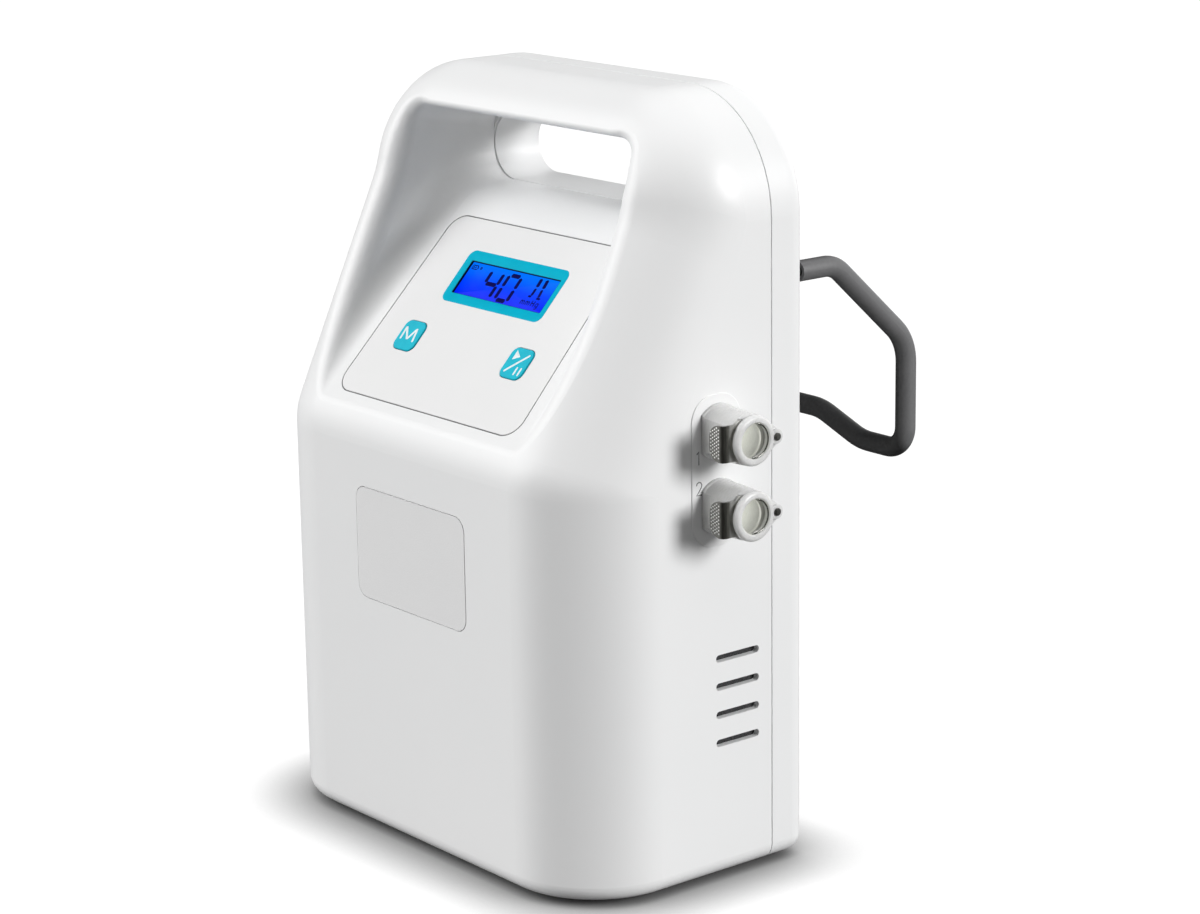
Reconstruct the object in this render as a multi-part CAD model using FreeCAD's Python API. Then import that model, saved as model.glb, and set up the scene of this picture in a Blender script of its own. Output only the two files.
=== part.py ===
import FreeCAD, Part
import math
import os

from FreeCAD import Placement, Rotation
from FreeCAD import Vector as V

# Compression therapy pump for two limb sleeves: a carrying case moulded in two shells, with a sloped
# control panel between two cheeks, a hand-hole under the top, two quick couplings on the right-hand
# side and a fold-down hook on the back for a bed's footboard.
#
# Millimetres.  +X is the pump's right-hand side, -Y its front, +Z up.  The origin is the middle of the
# face that the rubber feet stand on.

# ---- casing ------------------------------------------------------------------------------------
WIDTH = 187.4
HEIGHT = 275.0
FRONT_Y = -52.1
REAR_Y = 52.1
SEAM_Y = 34.6              # parting plane between front and rear shell
WALL = 2.5
PANEL_WALL = 3.0            # behind the control panel
NOSE_WALL = 8.0             # beside the recess, so that the rounded lips keep their thickness
FOOT_HEIGHT = 2.0          # the casing's underside stands this high
SHOULDER_Z = 152.0         # where the cheeks start to lean back
CHEEK_LEAN = math.tan(math.radians(25.0))
TOP_CORNER_R = 42.0
FRONT_CORNER_R = 36.0
TOP_FRONT_R = 22.0
SHOULDER_R = 28.0
REAR_EDGE_R = 7.6
BOTTOM_EDGE_R = 6.0
SEAM_GAP = 0.5
SEAM_DEPTH = 0.7

# ---- recess between the cheeks, and the hand-hole -------------------------------------------------
PANEL_FOOT = V(0, -45.4, 162.25)   # lower middle of the control panel
PANEL_ANGLE = 46.27                # degrees from level
HOLE_HALF_WIDTH = 60.0             # at the parting plane
HOLE_FLOOR_Z = 229.3
HOLE_TOP_Z = 254.3
GRIP_RISE = 0.166                  # the grip's underside rises towards the front
CHEEK_DRAFT = 0.07                 # the cheeks' inner walls open towards the front
RECESS_CORNER_R = 11.0
GRIP_CORNER_R = 7.5                # the two corners under the grip
FLOOR_ROLL_R = 24.0
LIP_R = 7.5                        # soft lip round the recess
GRIP_LIP_R = 1.8                   # crisper along the grip's underside
LIP_EASE = 13.0                    # height over which the one becomes the other
REAR_HOLE_HALF_WIDTH = 55.0
REAR_HOLE_FLOOR_Z = 230.6
REAR_HOLE_TOP_Z = 252.6

# ---- control panel ---------------------------------------------------------------------------------
OVERLAY_FOOT_HALF = 52.4
OVERLAY_TOP_HALF = 49.2
OVERLAY_LENGTH = 78.8
OVERLAY_CORNER_R = 7.0
OVERLAY_THICK = 0.8
OVERLAY_GAP = 0.5
LCD_FRAME = (57.4, 22.4)
LCD_FRAME_R = 3.2
LCD_CENTRE_UP = 54.9
LCD_MODULE = (62.0, 30.0, 6.6)
KEY_SIZE = (12.0, 12.4)
KEY_CORNER_R = 3.0
KEY_X = 31.4
KEY_UP = 26.9
KEY_GAP = 0.3
KEY_PROUD = 0.4
KEY_TRAVEL = 0.5
BOARD_BEHIND = 9.6                 # control board's front face behind the panel face
BOARD_THICK = 1.6

# ---- front badge, left plain -------------------------------------------------------------------------
BADGE_SIZE = (64.1, 41.0)
BADGE_R = 5.0
BADGE_Z = 110.3
BADGE_DEEP = 0.8

# ---- right-hand side --------------------------------------------------------------------------------
VENT_ROWS = 4
VENT_PITCH = 10.25
VENT_TOP_Z = 82.1
VENT_Y = (9.0, 28.7)
VENT_HIGH = 2.7
PORT_Y = 10.0
PORT_Z = (163.1, 136.9)            # coupling 1 above coupling 2
PORT_PLATE = (22.2, 53.4)
PORT_PLATE_AT = (9.4, 149.5)        # y, z
PORT_PLATE_R = 9.5
PORT_PLATE_DEEP = 1.2
PORT_PLATE_PROUD = 0.4
RING_FACE_X = 113.5
RING_THICK = 2.7
RING_R = 8.75
RING_SOFT = 1.3                    # rounding of the ring's front edge
BORE_R = 6.2
BORE_DEEP = 15.5
LATCH_THICK = 1.0
LATCH_GAP = 0.3
LATCH_TRAVEL = 1.6
LATCH_PIN_R = 1.3
LATCH_PIN_REACH = 9.7
THREAD_R = 6.0
BARB_R = 2.25
HOSE_R = 3.75

# ---- hook for a footboard ------------------------------------------------------------------------------
HOOK_ROD_R = 2.5
HOOK_SLEEVE_R = 3.75
HOOK_ARM_X = 75.0
HOOK_PIVOT = (57.5, 208.2)         # y, z of the hinge line
HOOK_REACH_Y = 117.3
HOOK_KNEE_Y = 81.1
HOOK_DROP_Z = 175.6
HOOK_BAR_LOW_Z = 134.4
HOOK_BAR_HIGH_Z = 142.6
BRACKET_X = (50.0, 67.0)
PIVOT_CLEARANCE = 0.1

# ---- back: switch and inlet ------------------------------------------------------------------------------
SWITCH_AT = (-50.0, 34.0)          # x, z
SWITCH_BEZEL = (15.0, 21.0)
ROCKER = (11.2, 17.2)
ROCKER_TILT = 8.0
INLET_AT = (-22.0, 34.0)
INLET_R = 5.5
INLET_BORE_R = 3.2
INLET_PIN_R = 1.0

# ---- inside ------------------------------------------------------------------------------------------------
CHASSIS_Y = (30.6, 32.6)
CHASSIS_HALF = 72.0
CHASSIS_Z = (12.0, 206.0)
STANDOFFS = ((-66.0, 18.0), (66.0, 18.0), (-60.0, 198.0), (60.0, 198.0))
CASE_SCREWS = ((-80.0, 24.0), (80.0, 24.0), (-80.0, 112.0), (80.0, 112.0),
               (-80.0, 205.0), (80.0, 205.0), (-36.0, 264.4), (36.0, 264.4))
BOSS_R = 4.5
BOSS_LONG = 14.0
SCREW_R = 1.5
SCREW_HEAD_R = 3.2
WELL_R = 3.8
FEET = ((-64.0, -27.0), (64.0, -27.0), (-72.0, 23.0), (72.0, 23.0))
FOOT_R = 7.0
FOOT_SEAT = 0.5

OVERLAP = 1.0                      # how far a cutter runs past a face
HALF = WIDTH / 2
BASE_Z = FOOT_HEIGHT
TINY = 1e-3


# ================================================================================================
# helpers
# ================================================================================================
def box(x0, x1, y0, y1, z0, z1):
    return Part.makeBox(x1 - x0, y1 - y0, z1 - z0, V(x0, y0, z0))


def rod(start, along, radius, length):
    return Part.makeCylinder(radius, length, start, along)


def middle(edge):
    return edge.valueAt((edge.FirstParameter + edge.LastParameter) / 2)


def ends(edge):
    return edge.valueAt(edge.FirstParameter), edge.valueAt(edge.LastParameter)


def prism(points, direction):
    return Part.Face(Part.makePolygon(points + [points[0]])).extrude(direction)


def rounded_block(wide, high, radius, z0, z1):
    """Rounded rectangle about the local origin in X and Y, from z0 to z1."""
    block = box(-wide / 2, wide / 2, -high / 2, high / 2, z0, z1)
    uprights = [e for e in block.Edges if abs(e.BoundBox.ZLength - (z1 - z0)) < TINY]
    return block.makeFillet(radius, uprights)


def fuse_all(first, others):
    return first.fuse(list(others)).removeSplitter()


def moved(shape, placement):
    copy = shape.copy()
    copy.Placement = placement.multiply(shape.Placement)
    return copy


PANEL_TURN = Rotation(V(1, 0, 0), PANEL_ANGLE)
FRONT_TURN = Rotation(V(1, 0, 0), 90)
SIDE_TURN = Rotation(V(0, 1, 0), V(0, 0, 1), V(1, 0, 0))
REAR_TURN = Rotation(V(-1, 0, 0), V(0, 0, 1), V(0, 1, 0))


def on_panel(shape):
    """Local X across the panel, Y up its slope, Z out of its face; origin at the panel's foot."""
    return moved(shape, Placement(PANEL_FOOT, PANEL_TURN))


def on_front(shape, x, z):
    return moved(shape, Placement(V(x, FRONT_Y, z), FRONT_TURN))


def on_side(shape, y, z):
    return moved(shape, Placement(V(HALF, y, z), SIDE_TURN))


def on_rear(shape, x, z):
    return moved(shape, Placement(V(x, REAR_Y, z), REAR_TURN))


def variable_fillet(shape, picks):
    """Round edges whose radius changes along them: picks holds (edge number, radius, radius)."""
    document = FreeCAD.newDocument()
    base = document.addObject("Part::Feature", "base")
    base.Shape = shape
    rounding = document.addObject("Part::Fillet", "rounding")
    rounding.Base = base
    rounding.Edges = picks
    document.recompute()
    result = rounding.Shape.copy()
    FreeCAD.closeDocument(document.Name)
    return result


def rounded_path(points, radii):
    """Straight runs joined by tangent arcs; radii belong to the inner points."""
    edges = []
    start = points[0]
    for corner, after, radius in zip(points[1:-1], points[2:], radii):
        back = (start - corner).normalize()
        ahead = (after - corner).normalize()
        turn = math.pi - back.getAngle(ahead)
        reach = radius * math.tan(turn / 2)
        first = corner + back * reach
        last = corner + ahead * reach
        bisector = (back + ahead).normalize()
        centre_off = radius / math.cos(turn / 2)
        crown = corner + bisector * (centre_off - radius)
        edges.append(Part.LineSegment(start, first).toShape())
        edges.append(Part.Arc(first, crown, last).toShape())
        start = last
    edges.append(Part.LineSegment(start, points[-1]).toShape())
    return Part.Wire(edges)


def swept_round(path, radius):
    first = path.Edges[0]
    section = Part.Wire(Part.makeCircle(radius, first.valueAt(first.FirstParameter),
                                        first.tangentAt(first.FirstParameter)))
    return path.makePipeShell([section], True, False)


# ================================================================================================
# casing: the outer form, the recess between the cheeks and the hand-hole
# ================================================================================================
def casing_form(inset):
    """The case's outer form, with every face moved inwards by inset."""
    lean_cos = math.cos(math.atan(CHEEK_LEAN))
    front, rear = FRONT_Y + inset, REAR_Y - inset
    top, bottom, half = HEIGHT - inset, BASE_Z + inset, HALF - inset
    shoulder = SHOULDER_Z + (inset - inset / lean_cos) / CHEEK_LEAN
    brow = front + CHEEK_LEAN * (top - shoulder)
    side = [V(-half, rear, bottom), V(-half, front, bottom), V(-half, front, shoulder),
            V(-half, brow, top), V(-half, rear, top)]
    form = prism(side, V(2 * half, 0, 0))
    form = form.makeFillet(TOP_CORNER_R - inset, [
        e for e in form.Edges
        if abs(middle(e).z - top) < TINY and abs(abs(middle(e).x) - half) < TINY])
    form = form.makeFillet(SHOULDER_R, [
        e for e in form.Edges if abs(middle(e).z - shoulder) < TINY and abs(middle(e).x) < 1])
    form = round_front(form, inset, half, top, bottom, brow)
    rear_loop = [e for e in form.Edges
                 if all(abs(p.y - rear) < TINY for p in ends(e)) and middle(e).z > bottom + 1]
    form = form.makeFillet(REAR_EDGE_R - inset, rear_loop)
    bottom_loop = [e for e in form.Edges if all(abs(p.z - bottom) < TINY for p in ends(e))]
    return form.makeFillet(BOTTOM_EDGE_R - inset, bottom_loop)


def round_front(form, inset, half, top, bottom, brow):
    """Wide rounding up both front corners, easing to a smaller one along the top's front edge;
    the right half is kept and mirrored."""
    wide, small = FRONT_CORNER_R - inset, TOP_FRONT_R - inset
    picks = []
    for number, edge in enumerate(form.Edges, 1):
        at = middle(edge)
        first, last = ends(edge)
        if at.z < bottom + 1 or at.y > brow + 1:
            continue
        if abs(abs(at.x) - half) < TINY:
            picks.append((number, wide, wide))
        elif abs(at.z - top) < TINY:
            picks.append((number, small, small))
        elif at.z > top - TOP_CORNER_R:
            picks.append((number, wide, small) if first.z < last.z else (number, small, wide))
    right = variable_fillet(form, picks).common(box(0, half + 1, FRONT_Y - 1, REAR_Y + 1, 0, top + 1))
    return right.fuse(right.mirror(V(0, 0, 0), V(1, 0, 0))).removeSplitter()


def recess_form(below, beside):
    """The space between the cheeks, above the panel and through the front shell's hand-hole,
    grown by below at its floor and by beside at the cheeks and the grip."""
    slope = math.tan(math.radians(PANEL_ANGLE))
    drop = below / math.cos(math.radians(PANEL_ANGLE))
    floor = HOLE_FLOOR_Z - below
    front = -90.0

    def panel_z(y):
        return PANEL_FOOT.z + (y - PANEL_FOOT.y) * slope - drop

    def grip_z(y):
        return HOLE_TOP_Z + beside + (SEAM_Y - y) * GRIP_RISE

    def half(y):
        return HOLE_HALF_WIDTH + beside + (SEAM_Y - y) * CHEEK_DRAFT

    brink = PANEL_FOOT.y + (floor + drop - PANEL_FOOT.z) / slope
    side = [V(-150, front, panel_z(front)), V(-150, brink, floor), V(-150, SEAM_Y, floor),
            V(-150, SEAM_Y, grip_z(SEAM_Y)), V(-150, front, grip_z(front))]
    plan = [V(-half(front), front, 0), V(half(front), front, 0),
            V(half(SEAM_Y), SEAM_Y, 0), V(-half(SEAM_Y), SEAM_Y, 0)]
    space = prism(side, V(300, 0, 0)).common(prism(plan, V(0, 0, 600)))
    space = space.makeFillet(FLOOR_ROLL_R - below, [
        e for e in space.Edges if abs(middle(e).y - brink) < TINY and abs(middle(e).x) < 1])
    for radius, under_grip in ((RECESS_CORNER_R, False), (GRIP_CORNER_R, True)):
        corners = []
        for edge in space.Edges:
            at = middle(edge)
            if (abs(abs(at.x) - half(at.y)) < 0.01 and front + 1 < at.y < SEAM_Y - 0.1
                    and (at.z > HOLE_TOP_Z) == under_grip):
                corners.append(edge)
        space = space.makeFillet(radius + below, corners)
    return space


def slot_wire(half, low, high, y):
    """Slot outline with almost full round ends, in a plane of constant y."""
    radius = (high - low) / 2 - TINY
    straight = half - radius
    centre = (low + high) / 2
    outline = [
        Part.LineSegment(V(-straight, y, low), V(straight, y, low)),
        Part.Arc(V(straight, y, low), V(half, y, centre), V(straight, y, high)),
        Part.LineSegment(V(straight, y, high), V(-straight, y, high)),
        Part.Arc(V(-straight, y, high), V(-half, y, centre), V(-straight, y, low))]
    return Part.Wire([piece.toShape() for piece in outline])


def rear_hole_form(growth):
    """The hand-hole through the rear shell, drawing in towards the back."""
    near = slot_wire(HOLE_HALF_WIDTH + growth, HOLE_FLOOR_Z - growth, HOLE_TOP_Z + growth, SEAM_Y)
    far = slot_wire(REAR_HOLE_HALF_WIDTH + growth, REAR_HOLE_FLOOR_Z - growth,
                    REAR_HOLE_TOP_Z + growth, REAR_Y + OVERLAP)
    return Part.makeLoft([near, far], True, True)


def lip_edges(body, outer, recess):
    """Edges where the recess breaks through the outer form."""
    skin, scoop = Part.Compound(outer.Faces), Part.Compound(recess.Faces)
    found = []
    for number, edge in enumerate(body.Edges, 1):
        at = middle(edge)
        if at.y > 25 or at.z < SHOULDER_Z - 2:
            continue
        spot = Part.Vertex(at)
        if spot.distToShape(skin)[0] < TINY and spot.distToShape(scoop)[0] < TINY:
            found.append(number)
    return found


def soft_lip(body, numbers):
    """Soft rounding down both cheeks and across the panel's foot, easing over the cheeks' top to a
    crisp one along the grip; the right half is kept and mirrored."""
    loop = [(number, *ends(body.Edges[number - 1])) for number in numbers]
    crown = max(p.z for _, first, last in loop for p in (first, last))

    def radius(at):
        return LIP_R - (LIP_R - GRIP_LIP_R) * max(0.0, 1 - (crown - at.z) / LIP_EASE)

    rounded = variable_fillet(body, [(n, radius(first), radius(last)) for n, first, last in loop])
    right = rounded.common(box(0, HALF + 1, FRONT_Y - 1, REAR_Y + 1, 0, HEIGHT + 1))
    return right.fuse(right.mirror(V(0, 0, 0), V(1, 0, 0))).removeSplitter()


# ================================================================================================
# cut-outs shared by the casing and the pieces that sit in them
# ================================================================================================
def overlay_outline(growth, z0, z1):
    """Tapered panel outline with rounded corners, in panel coordinates."""
    foot = OVERLAY_FOOT_HALF + growth
    head = OVERLAY_TOP_HALF + growth
    low, high = -growth, OVERLAY_LENGTH + growth
    plate = prism([V(-foot, low, z0), V(foot, low, z0), V(head, high, z0), V(-head, high, z0)],
                  V(0, 0, z1 - z0))
    uprights = [e for e in plate.Edges if abs(e.BoundBox.ZLength - (z1 - z0)) < TINY]
    return plate.makeFillet(OVERLAY_CORNER_R + growth, uprights)


def key_block(side, growth, z0, z1):
    block = rounded_block(KEY_SIZE[0] + 2 * growth, KEY_SIZE[1] + 2 * growth,
                          KEY_CORNER_R + growth, z0, z1)
    block.translate(V(side * KEY_X, KEY_UP, 0))
    return block


def lcd_block(growth, z0, z1):
    block = rounded_block(LCD_FRAME[0] + 2 * growth, LCD_FRAME[1] + 2 * growth,
                          LCD_FRAME_R + growth, z0, z1)
    block.translate(V(0, LCD_CENTRE_UP, 0))
    return block


BOARD_POSTS = ((-42.0, 12.0), (42.0, 12.0), (-40.0, 72.0), (40.0, 72.0))
LCD_LEDGE = 1.4                    # the window rests on this much of the opening's edge
KEY_POCKET = 1.4
KEY_STEM_R = 2.6
KEY_SHOULDER = -PANEL_WALL


def panel_cuts():
    """Everything taken out of the sloped wall: overlay pocket, window opening, key pockets, stems."""
    cuts = [overlay_outline(OVERLAY_GAP, -OVERLAY_THICK, OVERLAP)]
    opening = rounded_block(LCD_FRAME[0] - 2 * LCD_LEDGE, LCD_FRAME[1] - 2 * LCD_LEDGE, 2.0,
                            -6.0, OVERLAP)
    opening.translate(V(0, LCD_CENTRE_UP, 0))
    cuts.append(opening)
    for side in (-1, 1):
        cuts.append(key_block(side, KEY_GAP, -KEY_POCKET, OVERLAP))
        cuts.append(rod(V(side * KEY_X, KEY_UP, -6.0), V(0, 0, 1), KEY_STEM_R + 0.3, 7.0))
    return [on_panel(cut) for cut in cuts]


def side_cuts():
    """Vent slots, port plate pocket and the couplings' two holes."""
    cuts = []
    long = VENT_Y[1] - VENT_Y[0]
    for row in range(VENT_ROWS):
        slot = rounded_block(long, VENT_HIGH, VENT_HIGH / 2 - TINY, -2 * WALL, OVERLAP)
        cuts.append(on_side(slot, sum(VENT_Y) / 2, VENT_TOP_Z - row * VENT_PITCH))
    pocket = rounded_block(*PORT_PLATE, PORT_PLATE_R, -PORT_PLATE_DEEP, OVERLAP)
    cuts.append(on_side(pocket, *PORT_PLATE_AT))
    for z in PORT_Z:
        cuts.append(rod(V(HALF - 2 * WALL, PORT_Y, z), V(1, 0, 0), THREAD_R, 4 * WALL))
    return cuts


def badge_cut():
    pocket = rounded_block(BADGE_SIZE[0] + 0.6, BADGE_SIZE[1] + 0.6, BADGE_R + 0.3,
                           -BADGE_DEEP, OVERLAP)
    return on_front(pocket, 0, BADGE_Z)


# ================================================================================================
# casing shells
# ================================================================================================
def case_body():
    """The whole case as one hollow moulding, before it is parted."""
    outer = casing_form(0)
    recess = recess_form(0, 0)
    body = outer.cut(recess)
    body = soft_lip(body, lip_edges(body, outer, recess))
    body = body.cut(rear_hole_form(0))
    cavity = casing_form(WALL).cut([recess_form(PANEL_WALL, NOSE_WALL), rear_hole_form(WALL)])
    return body, cavity


def half_space(front_half):
    if front_half:
        return box(-150, 150, -150, SEAM_Y, -20, 320)
    return box(-150, 150, SEAM_Y, 150, -20, 320)


def front_housing(body, cavity):
    shell = body.common(half_space(True)).cut(cavity)
    posts = []
    for x, up in BOARD_POSTS:
        posts.append(on_panel(rod(V(x, up, -BOARD_BEHIND), V(0, 0, 1), 2.6, BOARD_BEHIND - 1.8)))
    for x, z in CASE_SCREWS:
        posts.append(rod(V(x, SEAM_Y - BOSS_LONG, z), V(0, 1, 0), BOSS_R, BOSS_LONG))
        if abs(x) > 70:
            wall = math.copysign(HALF - WALL / 2, x)
            low, high = sorted((x, wall))
            posts.append(box(low, high, SEAM_Y - BOSS_LONG, SEAM_Y, z - 1, z + 1))
        else:
            posts.append(box(x - 1, x + 1, SEAM_Y - BOSS_LONG, SEAM_Y, z, HEIGHT - WALL / 2))
    shell = fuse_all(shell, posts)
    cuts = panel_cuts() + side_cuts() + [badge_cut()]
    for x, up in BOARD_POSTS:
        cuts.append(on_panel(rod(V(x, up, -BOARD_BEHIND - 1), V(0, 0, 1), 1.1, 6.0)))
    for x, z in CASE_SCREWS:
        cuts.append(rod(V(x, SEAM_Y - BOSS_LONG + 2, z), V(0, 1, 0), SCREW_R, BOSS_LONG))
    for x, y in FEET:
        cuts.append(rod(V(x, y, BASE_Z - OVERLAP), V(0, 0, 1), FOOT_R, OVERLAP + FOOT_SEAT))
    return shell.cut(cuts)


def seam_relief():
    """Fine shadow groove in the rear shell's rim, round the outside and inside the hand-hole."""
    rim = box(-150, 150, SEAM_Y, SEAM_Y + SEAM_GAP, -20, 320)
    kept = casing_form(SEAM_DEPTH).cut(rear_hole_form(SEAM_DEPTH))
    return rim.cut(kept)


def bracket_screw_spots():
    spots = []
    for side in (-1, 1):
        for z in (HOOK_PIVOT[1] - 8.2, HOOK_PIVOT[1] + 8.2):
            spots.append((side * sum(BRACKET_X) / 2, z))
    return spots


def rear_housing(body, cavity):
    shell = body.common(half_space(False)).cut(cavity)
    posts = []
    for x, z in CASE_SCREWS:
        posts.append(rod(V(x, SEAM_Y, z), V(0, 1, 0), WELL_R + 1.8, REAR_Y - SEAM_Y - 1))
    for x, z in STANDOFFS:
        posts.append(rod(V(x, CHASSIS_Y[1], z), V(0, 1, 0), 4.0, REAR_Y - CHASSIS_Y[1] - 1))
    for x, z in bracket_screw_spots():
        posts.append(rod(V(x, REAR_Y - 10, z), V(0, 1, 0), 3.2, 9.0))
    shell = fuse_all(shell, [post.common(casing_form(1.0)) for post in posts])
    cuts = [seam_relief()]
    for x, z in CASE_SCREWS:
        cuts.append(rod(V(x, SEAM_Y - 1, z), V(0, 1, 0), SCREW_R + 0.2, 30))
        cuts.append(rod(V(x, SEAM_Y + 3.5, z), V(0, 1, 0), WELL_R, 30))
    for x, z in STANDOFFS:
        cuts.append(rod(V(x, CHASSIS_Y[1] - 1, z), V(0, 1, 0), SCREW_R, 12))
    for x, z in bracket_screw_spots():
        cuts.append(rod(V(x, REAR_Y - 8.5, z), V(0, 1, 0), 1.25, 12))
    slot = rounded_block(ROCKER[0] + 2.4, ROCKER[1] + 2.4, 1.0, -2 * WALL, OVERLAP)
    cuts.append(on_rear(slot, *SWITCH_AT))
    cuts.append(on_rear(rod(V(0, 0, -2 * WALL), V(0, 0, 1), INLET_R - 1.5, 4 * WALL), *INLET_AT))
    return shell.cut(cuts)


# ================================================================================================
# small pieces of the casing
# ================================================================================================
def rubber_feet():
    feet = []
    for x, y in FEET:
        foot = rod(V(x, y, 0), V(0, 0, 1), FOOT_R, FOOT_HEIGHT + FOOT_SEAT)
        feet.append(foot.makeFillet(0.8, [e for e in foot.Edges if abs(middle(e).z) < TINY]))
    return Part.makeCompound(feet)


def pan_screw(x, y, z, length, radius=SCREW_R, head=SCREW_HEAD_R):
    """Screw whose head seats at y and whose shank runs towards the front."""
    shank = rod(V(x, y - length, z), V(0, 1, 0), radius, length)
    cap = rod(V(x, y, z), V(0, 1, 0), head, 2.2)
    cap = cap.makeFillet(0.8, [e for e in cap.Edges if abs(middle(e).y - y - 2.2) < TINY])
    drive = rod(V(x, y + 1.0, z), V(0, 1, 0), head * 0.4, 2.0)
    return fuse_all(shank, [cap]).cut(drive)


def case_screws():
    return Part.makeCompound([pan_screw(x, SEAM_Y + 3.5, z, 14.0) for x, z in CASE_SCREWS])


def badge_plate():
    plate = rounded_block(BADGE_SIZE[0], BADGE_SIZE[1], BADGE_R, -BADGE_DEEP, 0.1)
    return on_front(plate, 0, BADGE_Z)


def vent_filter():
    return box(HALF - WALL - 4.0, HALF - WALL, 4.0, 32.0, 44.0, 90.0)


# ================================================================================================
# control panel
# ================================================================================================
def control_overlay():
    sheet = overlay_outline(0, -OVERLAY_THICK, 0)
    cuts = [lcd_block(0, -2, 1)] + [key_block(side, KEY_GAP, -2, 1) for side in (-1, 1)]
    return on_panel(sheet.cut(cuts))


def lcd_window():
    return on_panel(lcd_block(0, -OVERLAY_THICK, 0.1))


def lcd_module():
    wide, high, deep = LCD_MODULE
    glass = rounded_block(wide, high, 1.0, -PANEL_WALL - deep, -PANEL_WALL)
    glass.translate(V(0, LCD_CENTRE_UP, 0))
    crystal = box(-25.6, 25.6, LCD_CENTRE_UP - 9.0, LCD_CENTRE_UP + 9.0, -PANEL_WALL - 0.1, -1.0)
    return on_panel(fuse_all(glass, [crystal]))


def control_key(side):
    """Key cap with a stem through the panel wall and a shoulder behind it that keeps it in."""
    cap = key_block(side, 0, -0.7, KEY_PROUD)
    top = [e for e in cap.Edges if all(abs(p.z - KEY_PROUD) < TINY for p in ends(e))]
    cap = cap.makeChamfer(0.25, top)
    at = V(side * KEY_X, KEY_UP, KEY_SHOULDER - 1.0)
    stem = rod(at, V(0, 0, 1), KEY_STEM_R, 0.5 - KEY_SHOULDER)
    shoulder = rod(at, V(0, 0, 1), KEY_STEM_R + 1.2, 0.8)
    return on_panel(fuse_all(cap, [stem, shoulder]))


def control_board():
    board = box(-47.0, 47.0, 7.0, 77.0, -BOARD_BEHIND - BOARD_THICK, -BOARD_BEHIND)
    chips = [box(-12, 12, 18, 34, -BOARD_BEHIND - BOARD_THICK - 2.0, -BOARD_BEHIND - BOARD_THICK),
             box(-30, -22, 40, 60, -BOARD_BEHIND - BOARD_THICK - 5.0, -BOARD_BEHIND - BOARD_THICK)]
    board = fuse_all(board, chips)
    holes = [rod(V(x, up, -BOARD_BEHIND - 8), V(0, 0, 1), 1.2, 12) for x, up in BOARD_POSTS]
    return on_panel(board.cut(holes))


def key_switches():
    switches = []
    for side in (-1, 1):
        base = box(side * KEY_X - 3.1, side * KEY_X + 3.1, KEY_UP - 3.1, KEY_UP + 3.1,
                   -BOARD_BEHIND, -BOARD_BEHIND + 3.5)
        plunger = rod(V(side * KEY_X, KEY_UP, -BOARD_BEHIND), V(0, 0, 1), 1.7,
                      BOARD_BEHIND + KEY_SHOULDER - 1.0 - KEY_TRAVEL - 0.1)
        switches.append(on_panel(fuse_all(base, [plunger])))
    return Part.makeCompound(switches)


def board_screws():
    screws = []
    for x, up in BOARD_POSTS:
        head_z = -BOARD_BEHIND - BOARD_THICK
        head = rod(V(x, up, head_z - 1.6), V(0, 0, 1), 2.4, 1.6)
        shank = rod(V(x, up, head_z), V(0, 0, 1), 1.1, 6.0)
        screws.append(on_panel(fuse_all(head, [shank])))
    return Part.makeCompound(screws)


# ================================================================================================
# quick couplings on the right-hand side.  Local frame: X along +Y, Y along +Z, Z out of the wall
# ================================================================================================
PLATE_FACE = PORT_PLATE_PROUD
RING_FACE = RING_FACE_X - HALF
RING_BACK = RING_FACE - RING_THICK
SLOT_LOW = RING_BACK - LATCH_THICK - 2 * LATCH_GAP
LATCH_LOW = SLOT_LOW + LATCH_GAP
FLAT_AT = -7.4                     # flat on the body behind the thumb tab
TAB_OUT = -12.2                    # outer face of the thumb tab at rest
TAB_LONG = 6.9
LUG_R = 2.6
PIN_PROUD = 0.6
LATCH_HALF = 7.4
LATCH_EYE_R = 8.3
LATCH_CLEAR = 0.2                  # the latch's hole stands this far past the bore when pressed


def port_plate():
    plate = rounded_block(*PORT_PLATE, PORT_PLATE_R, -PORT_PLATE_DEEP, PORT_PLATE_PROUD)
    rim = [e for e in plate.Edges if all(abs(p.z - PORT_PLATE_PROUD) < TINY for p in ends(e))]
    plate = plate.makeFillet(0.3, rim)
    y0, z0 = PORT_PLATE_AT
    holes = [rod(V(PORT_Y - y0, z - z0, -3), V(0, 0, 1), THREAD_R, 6) for z in PORT_Z]
    return on_side(plate.cut(holes), y0, z0)


def coupling_profile():
    """Half section turned about the port's axis: flange, tapered body, ring, thread and barb."""
    tail = -(WALL + 11.0)
    outside = [V(1.4, 0, tail), V(BARB_R, 0, tail), V(BARB_R, 0, -(WALL + 3.5)),
               V(THREAD_R, 0, -(WALL + 3.5)), V(THREAD_R, 0, PLATE_FACE), V(9.9, 0, PLATE_FACE),
               V(9.9, 0, PLATE_FACE + 1.0), V(9.5, 0, PLATE_FACE + 1.5), V(8.95, 0, SLOT_LOW),
               V(RING_R - 0.5, 0, RING_BACK), V(RING_R, 0, RING_BACK + 0.8),
               V(RING_R, 0, RING_FACE - RING_SOFT)]
    inside = [V(RING_R - RING_SOFT, 0, RING_FACE), V(BORE_R + 0.4, 0, RING_FACE),
              V(BORE_R, 0, RING_FACE - 0.4), V(BORE_R, 0, RING_FACE - BORE_DEEP),
              V(1.4, 0, RING_FACE - BORE_DEEP), outside[0]]
    sag = RING_SOFT * (1 - math.sqrt(0.5))
    rolled = Part.Arc(outside[-1], V(RING_R - sag, 0, RING_FACE - sag), inside[0]).toShape()
    edges = Part.makePolygon(outside).Edges + [rolled] + Part.makePolygon(inside).Edges
    return Part.Face(Part.Wire(edges))


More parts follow.
